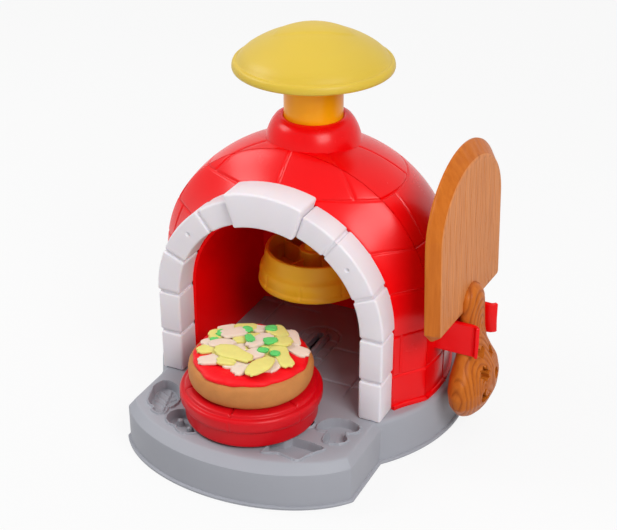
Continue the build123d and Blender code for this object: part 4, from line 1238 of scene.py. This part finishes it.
def handle_part():
    """Handle: a smooth run of ovals from the hump on the blade to the bulb, flat at the back."""
    table = np.array(HANDLE_ROWS)
    zs = np.arange(-75.5, 14.61, 0.85)
    rows = np.array([[np.interp(z, table[:, 0], table[:, k]) for k in (1, 2, 3)] for z in zs])
    for _ in range(3):
        rows[1:-1] = (rows[:-2] + 2 * rows[1:-1] + rows[2:]) / 4
    columns = 160
    points = []
    for z, (x, thick, wide) in zip(zs, rows):
        for a in [TAU * c / columns for c in range(columns)]:
            y = wide * math.sin(a)
            sunk = handle_grain(y, z) if math.cos(a) > 0.05 else 0.0
            points.append((max(x + thick * math.cos(a) - sunk, HANDLE_BACK_X if z < 0 else -1.2), y, z))
    handle = add_mesh("peel_handle", points, capped_faces(len(zs), columns), sharp=60)
    spots = [v.co / MM for v in handle.data.vertices]
    store_grain(handle, [handle_grain(p.y, p.z) / GRAIN_DEEP * (p.x > 0) for p in spots])
    return handle


def handle_grain(y, z):
    """Depth of the grain on the handle: rings on the bulb, arches over the hump."""
    if z < -18:
        reach = math.hypot((y + 9) * 1.3, (z + 52) * 0.75)
    else:
        reach = math.hypot(y * 1.25, (z + 14) * 0.62)
    line = abs((reach / 3.3) % 1.0 - 0.5) * 2
    return HANDLE_GRAIN_DEEP * max(0.0, 1 - line / 0.45)


def cutter(name, outline, x0=-7.4, x1=24.0):
    """Prism along X from an outline in (y, z)."""
    points = [(x0, y, z) for y, z in outline] + [(x1, y, z) for y, z in outline]
    count = len(outline)
    faces = [(i, (i + 1) % count, count + (i + 1) % count, count + i) for i in range(count)]
    faces.append(tuple(reversed(range(count))))
    faces.append(tuple(range(count, 2 * count)))
    return add_mesh(name, points, faces)


def heart(y, z, size):
    """Heart outline, its point down."""
    out = []
    for k in range(40):
        t = TAU * k / 40
        hy = 16 * math.sin(t) ** 3
        hz = 13 * math.cos(t) - 5 * math.cos(2 * t) - 2 * math.cos(3 * t) - math.cos(4 * t)
        out.append((y + hy * size / 16, z + hz * size / 16))
    return out


def star(y, z, size, points, waist=0.66):
    """Star outline."""
    out = []
    for k in range(2 * points):
        reach = size if k % 2 == 0 else size * waist
        a = TAU * k / (2 * points) + math.pi / 2
        out.append((y + reach * math.cos(a), z + reach * math.sin(a)))
    return out


def crescent(y, z, size):
    """Crescent moon outline, its horns up and to one side."""
    out = []
    for k in range(25):
        a = math.radians(100 + 260 * k / 24)
        out.append((y + size * math.cos(a), z + size * math.sin(a)))
    for k in range(1, 20):
        a = math.radians(340 - 220 * k / 20)
        out.append((y + 0.35 * size + 0.62 * size * math.cos(a), z + 0.35 * size + 0.62 * size * math.sin(a)))
    return out


def peel_piece():
    """Wood-coloured peel with dough cutters through its handle."""
    handle = handle_part()
    shapes = (heart(-4.8, -30.0, 4.6), star(-7.2, -43.6, 6.0, 8), crescent(-7.4, -58.0, 5.6),
              star(8.6, -35.0, 4.6, 5), circle_loop(9.3, -51.0, 3.8).tolist())
    for index, outline in enumerate(shapes):
        cut_out(handle, cutter("cut_%d" % index, outline), sharp=60)
    peel = joined("peel", [blade_part(), handle])
    peel.data.materials.clear()
    for material in (PEEL_BODY, PEEL_FACE_SHEEN):
        peel.data.materials.append(material)
    # The flat face takes the lighter colour, which holds its painted sheen.
    for polygon in peel.data.polygons:
        flat = -0.9 * MM < polygon.center.x < 0.05 * MM and polygon.center.z > 0 and polygon.normal.x > 0.6
        polygon.material_index = 1 if flat else 0
    peel.data.transform(peel_matrix())
    return peel


def clip_piece():
    """Red sprung clip: a root on the dome and two arms with flared tips."""
    middle = PEEL_AT[1]
    inner, thick, low, high = 13.5, 3.2, 63.0, 84.4
    path = [(90.0, inner), (112.0, inner), (116.5, inner), (119.2, inner + 0.5), (121.2, inner + 1.9),
            (122.6, inner + 3.6)]
    back = [(x, y + thick) for x, y in path[:3]]
    back += [(x + dx, y + dy) for (x, y), dx, dy in zip(path[3:], (-0.8, -1.6, -2.2), (2.6, 1.9, 1.4))]
    outline = path + back[::-1]
    levels = ((low, 1.6), (66.0, 1.1), (70.0, 0.3), (73.0, 0.0), (high, 0.0))
    parts = []
    for side in (-1, 1):
        stack = []
        for z, spread in levels:
            for index, (x, y) in enumerate(outline):
                grow = spread if index < len(path) else spread * 0.3
                stack.append((x, middle + side * (y + grow), z))
        arm = add_mesh("clip_arm", stack, capped_faces(len(levels), len(outline)))
        parts.append(bevelled(arm, 0.7, 3, 40))
    root = box_mesh("clip_root", 89.0, 97.0, middle - inner - thick, middle + inner + thick, low, high)
    parts.append(bevelled(root, 0.8, 3))
    return joined("peel_holder", parts)


# ---------------------------------------------------------------- put the pieces on the frame

PIECES = ((base_piece, "oven", GREY, "base_shell"), (rear_dome, "oven", RED, "rear_shell"),
          (front_dome, "oven", RED, "front_shell"), (liner_piece, "oven", LINER_RED, "oven_liner"),
          (arch_piece, "oven", WHITE, "arch_trim"), (collar_piece, "oven", RED, "press_collar"),
          (clip_piece, "oven", RED, "peel_clip"), (knob_piece, "press", KNOB_YELLOW, "press_knob"),
          (stem_piece, "press", STEM_ORANGE, "press_stem"),
          (press_head_piece, "press", HEAD_ORANGE, "press_head"),
          (tray_piece, "tray", TRAY_RED, "tray_dish"), (tray_foot_piece, "tray", TRAY_RED, "tray_foot"),
          (crust_piece, "pizza", CRUST, "pizza_crust"), (sauce_piece, "pizza", SAUCE, "pizza_sauce"))
CARRIED_OVER = (("base_screws", STEEL), ("knob_screws", STEEL), ("head_screw", STEEL), ("slider_screw", STEEL),
                ("stop_clip", STEEL), ("collar_ring", RED), ("tray_slider", TRAY_RED))


def dress():
    """Makes every piece and sets it on its body."""
    for make, body, material, node in PIECES:
        place(make(), body, material, node, node)
    bits = toppings()
    for colour, material in (("yellow", YELLOW_DOUGH), ("cream", CREAM_DOUGH), ("green", GREEN_DOUGH)):
        place(bits[colour], "pizza", material, "topping_" + colour, "topping_" + colour)
    place(peel_piece(), "peel", None, "pizza_peel", "pizza_peel")
    place(spring_piece(), "oven", STEEL, "press_spring", "press_spring")
    for node, material in CARRIED_OVER:
        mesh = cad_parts[node].data
        mesh.materials.clear()
        mesh.materials.append(material)


# ---------------------------------------------------------------- room, light and camera

def seen_directly(tree):
    """1 for rays that look at the backdrop: from the camera, or by way of gloss or clear matter."""
    path = add_node(tree, "ShaderNodeLightPath")
    seen = path.outputs["Is Camera Ray"]
    for way in ("Is Glossy Ray", "Is Transmission Ray"):
        seen = add_node(tree, "ShaderNodeMath", seen, path.outputs[way], operation="MAXIMUM").outputs[0]
    return seen


def backdrop_material():
    """Pale floor: white to the camera and to reflections, with a light shadow, and dark under the base."""
    material, tree, shader, at = new_material("floor_paper")
    speck = add_node(tree, "ShaderNodeTexNoise", Scale=40.0, Detail=2.0).outputs["Fac"]
    tree.links.new(shades(tree, speck, (0.60, 0.60, 0.60), (0.64, 0.64, 0.64)), shader.inputs["Base Color"])
    set_shader(shader, Roughness=0.9, Specular_IOR_Level=0.1)
    glow = add_node(tree, "ShaderNodeEmission", Strength=1.0)
    reach = add_node(tree, "ShaderNodeVectorMath", at, operation="LENGTH")
    clear = add_node(tree, "ShaderNodeMapRange", Value=reach.outputs["Value"], From_Min=80 * MM,
                     From_Max=95 * MM, To_Max=0.88).outputs["Result"]
    share = add_node(tree, "ShaderNodeMath", seen_directly(tree), clear, operation="MULTIPLY")
    mix = add_node(tree, "ShaderNodeMixShader", share.outputs[0], shader.outputs[0], glow.outputs[0])
    tree.links.new(mix.outputs[0], tree.nodes["Material Output"].inputs["Surface"])
    return material


def studio_world():
    """White backdrop, with light that comes from overhead and from a low band in front."""
    world = bpy.data.worlds.new("studio")
    world.use_nodes = True
    tree = world.node_tree
    at = add_node(tree, "ShaderNodeTexCoord").outputs["Generated"]
    height = add_node(tree, "ShaderNodeVectorMath", at, (0.0, 0.30, 0.954), operation="DOT_PRODUCT")
    overhead = shades(tree, height.outputs["Value"], (0.07, 0.07, 0.07), (1, 1, 1),
                      between=((0.40, 0.12), (0.76, 0.62)))
    parts = add_node(tree, "ShaderNodeSeparateXYZ", at)
    low = add_node(tree, "ShaderNodeMapRange", Value=parts.outputs["Z"], From_Min=0.34,
                   From_Max=0.12).outputs["Result"]
    ahead = add_node(tree, "ShaderNodeMapRange", Value=parts.outputs["Y"], From_Min=-0.2, From_Max=-0.8,
                     To_Max=FRONT_GLOW).outputs["Result"]
    glow = add_node(tree, "ShaderNodeMath", low, ahead, operation="MULTIPLY")
    both = add_node(tree, "ShaderNodeVectorMath", overhead, glow.outputs[0], operation="ADD")
    soft = tree.nodes["Background"]
    soft.inputs["Strength"].default_value = 1.15
    tree.links.new(both.outputs[0], soft.inputs["Color"])
    bright = add_node(tree, "ShaderNodeBackground", Color=(1, 1, 1, 1), Strength=1.0)
    mix = add_node(tree, "ShaderNodeMixShader", seen_directly(tree), soft.outputs[0], bright.outputs[0])
    tree.links.new(mix.outputs[0], tree.nodes["World Output"].inputs["Surface"])
    bpy.context.scene.world = world


# Each softbox: its name, where it stands, its size in millimetres and its power in watts.
SOFTBOXES = (("left_box", (-775, -200, 810), (420, 420), 4.6),
             ("right_box", (680, -522, 771), (480, 400), 7.0))


def room():
    """Floor, world light, lamps and camera."""
    far = 4000
    floor = add_mesh("floor", [(-far, -far, -0.05), (far, -far, -0.05), (far, far, -0.05), (-far, far, -0.05)],
                     [(0, 1, 2, 3)])
    floor.data.materials.append(backdrop_material())
    studio_world()
    for name, at, size, power in SOFTBOXES:
        lamp = bpy.data.lights.new(name, "AREA")
        lamp.shape = "RECTANGLE"
        lamp.size = size[0] * MM
        lamp.size_y = size[1] * MM
        lamp.energy = power
        obj = bpy.data.objects.new(name, lamp)
        bpy.context.scene.collection.objects.link(obj)
        obj.location = Vector(at) * MM
        obj.rotation_euler = (Vector((0, -20, 110)) - Vector(at)).to_track_quat("-Z", "Y").to_euler()
    data = bpy.data.cameras.new("camera")
    data.sensor_width = SENSOR
    data.lens = SENSOR * FOCAL_PX / PHOTO_W
    data.clip_start = 0.01
    data.clip_end = 50
    camera = bpy.data.objects.new("camera", data)
    bpy.context.scene.collection.objects.link(camera)
    az, el = math.radians(CAMERA_AZIMUTH), math.radians(CAMERA_ELEVATION)
    ahead = Vector((-math.sin(az) * math.cos(el), math.cos(az) * math.cos(el), -math.sin(el)))
    camera.rotation_mode = "QUATERNION"
    roll = Euler((0, 0, math.radians(CAMERA_ROLL))).to_quaternion()
    camera.rotation_quaternion = ahead.to_track_quat("-Z", "Y") @ roll
    camera.location = Vector(CAMERA_AT) * MM
    bpy.context.scene.camera = camera
    bpy.context.scene.view_settings.view_transform = "Standard"


dress()
room()
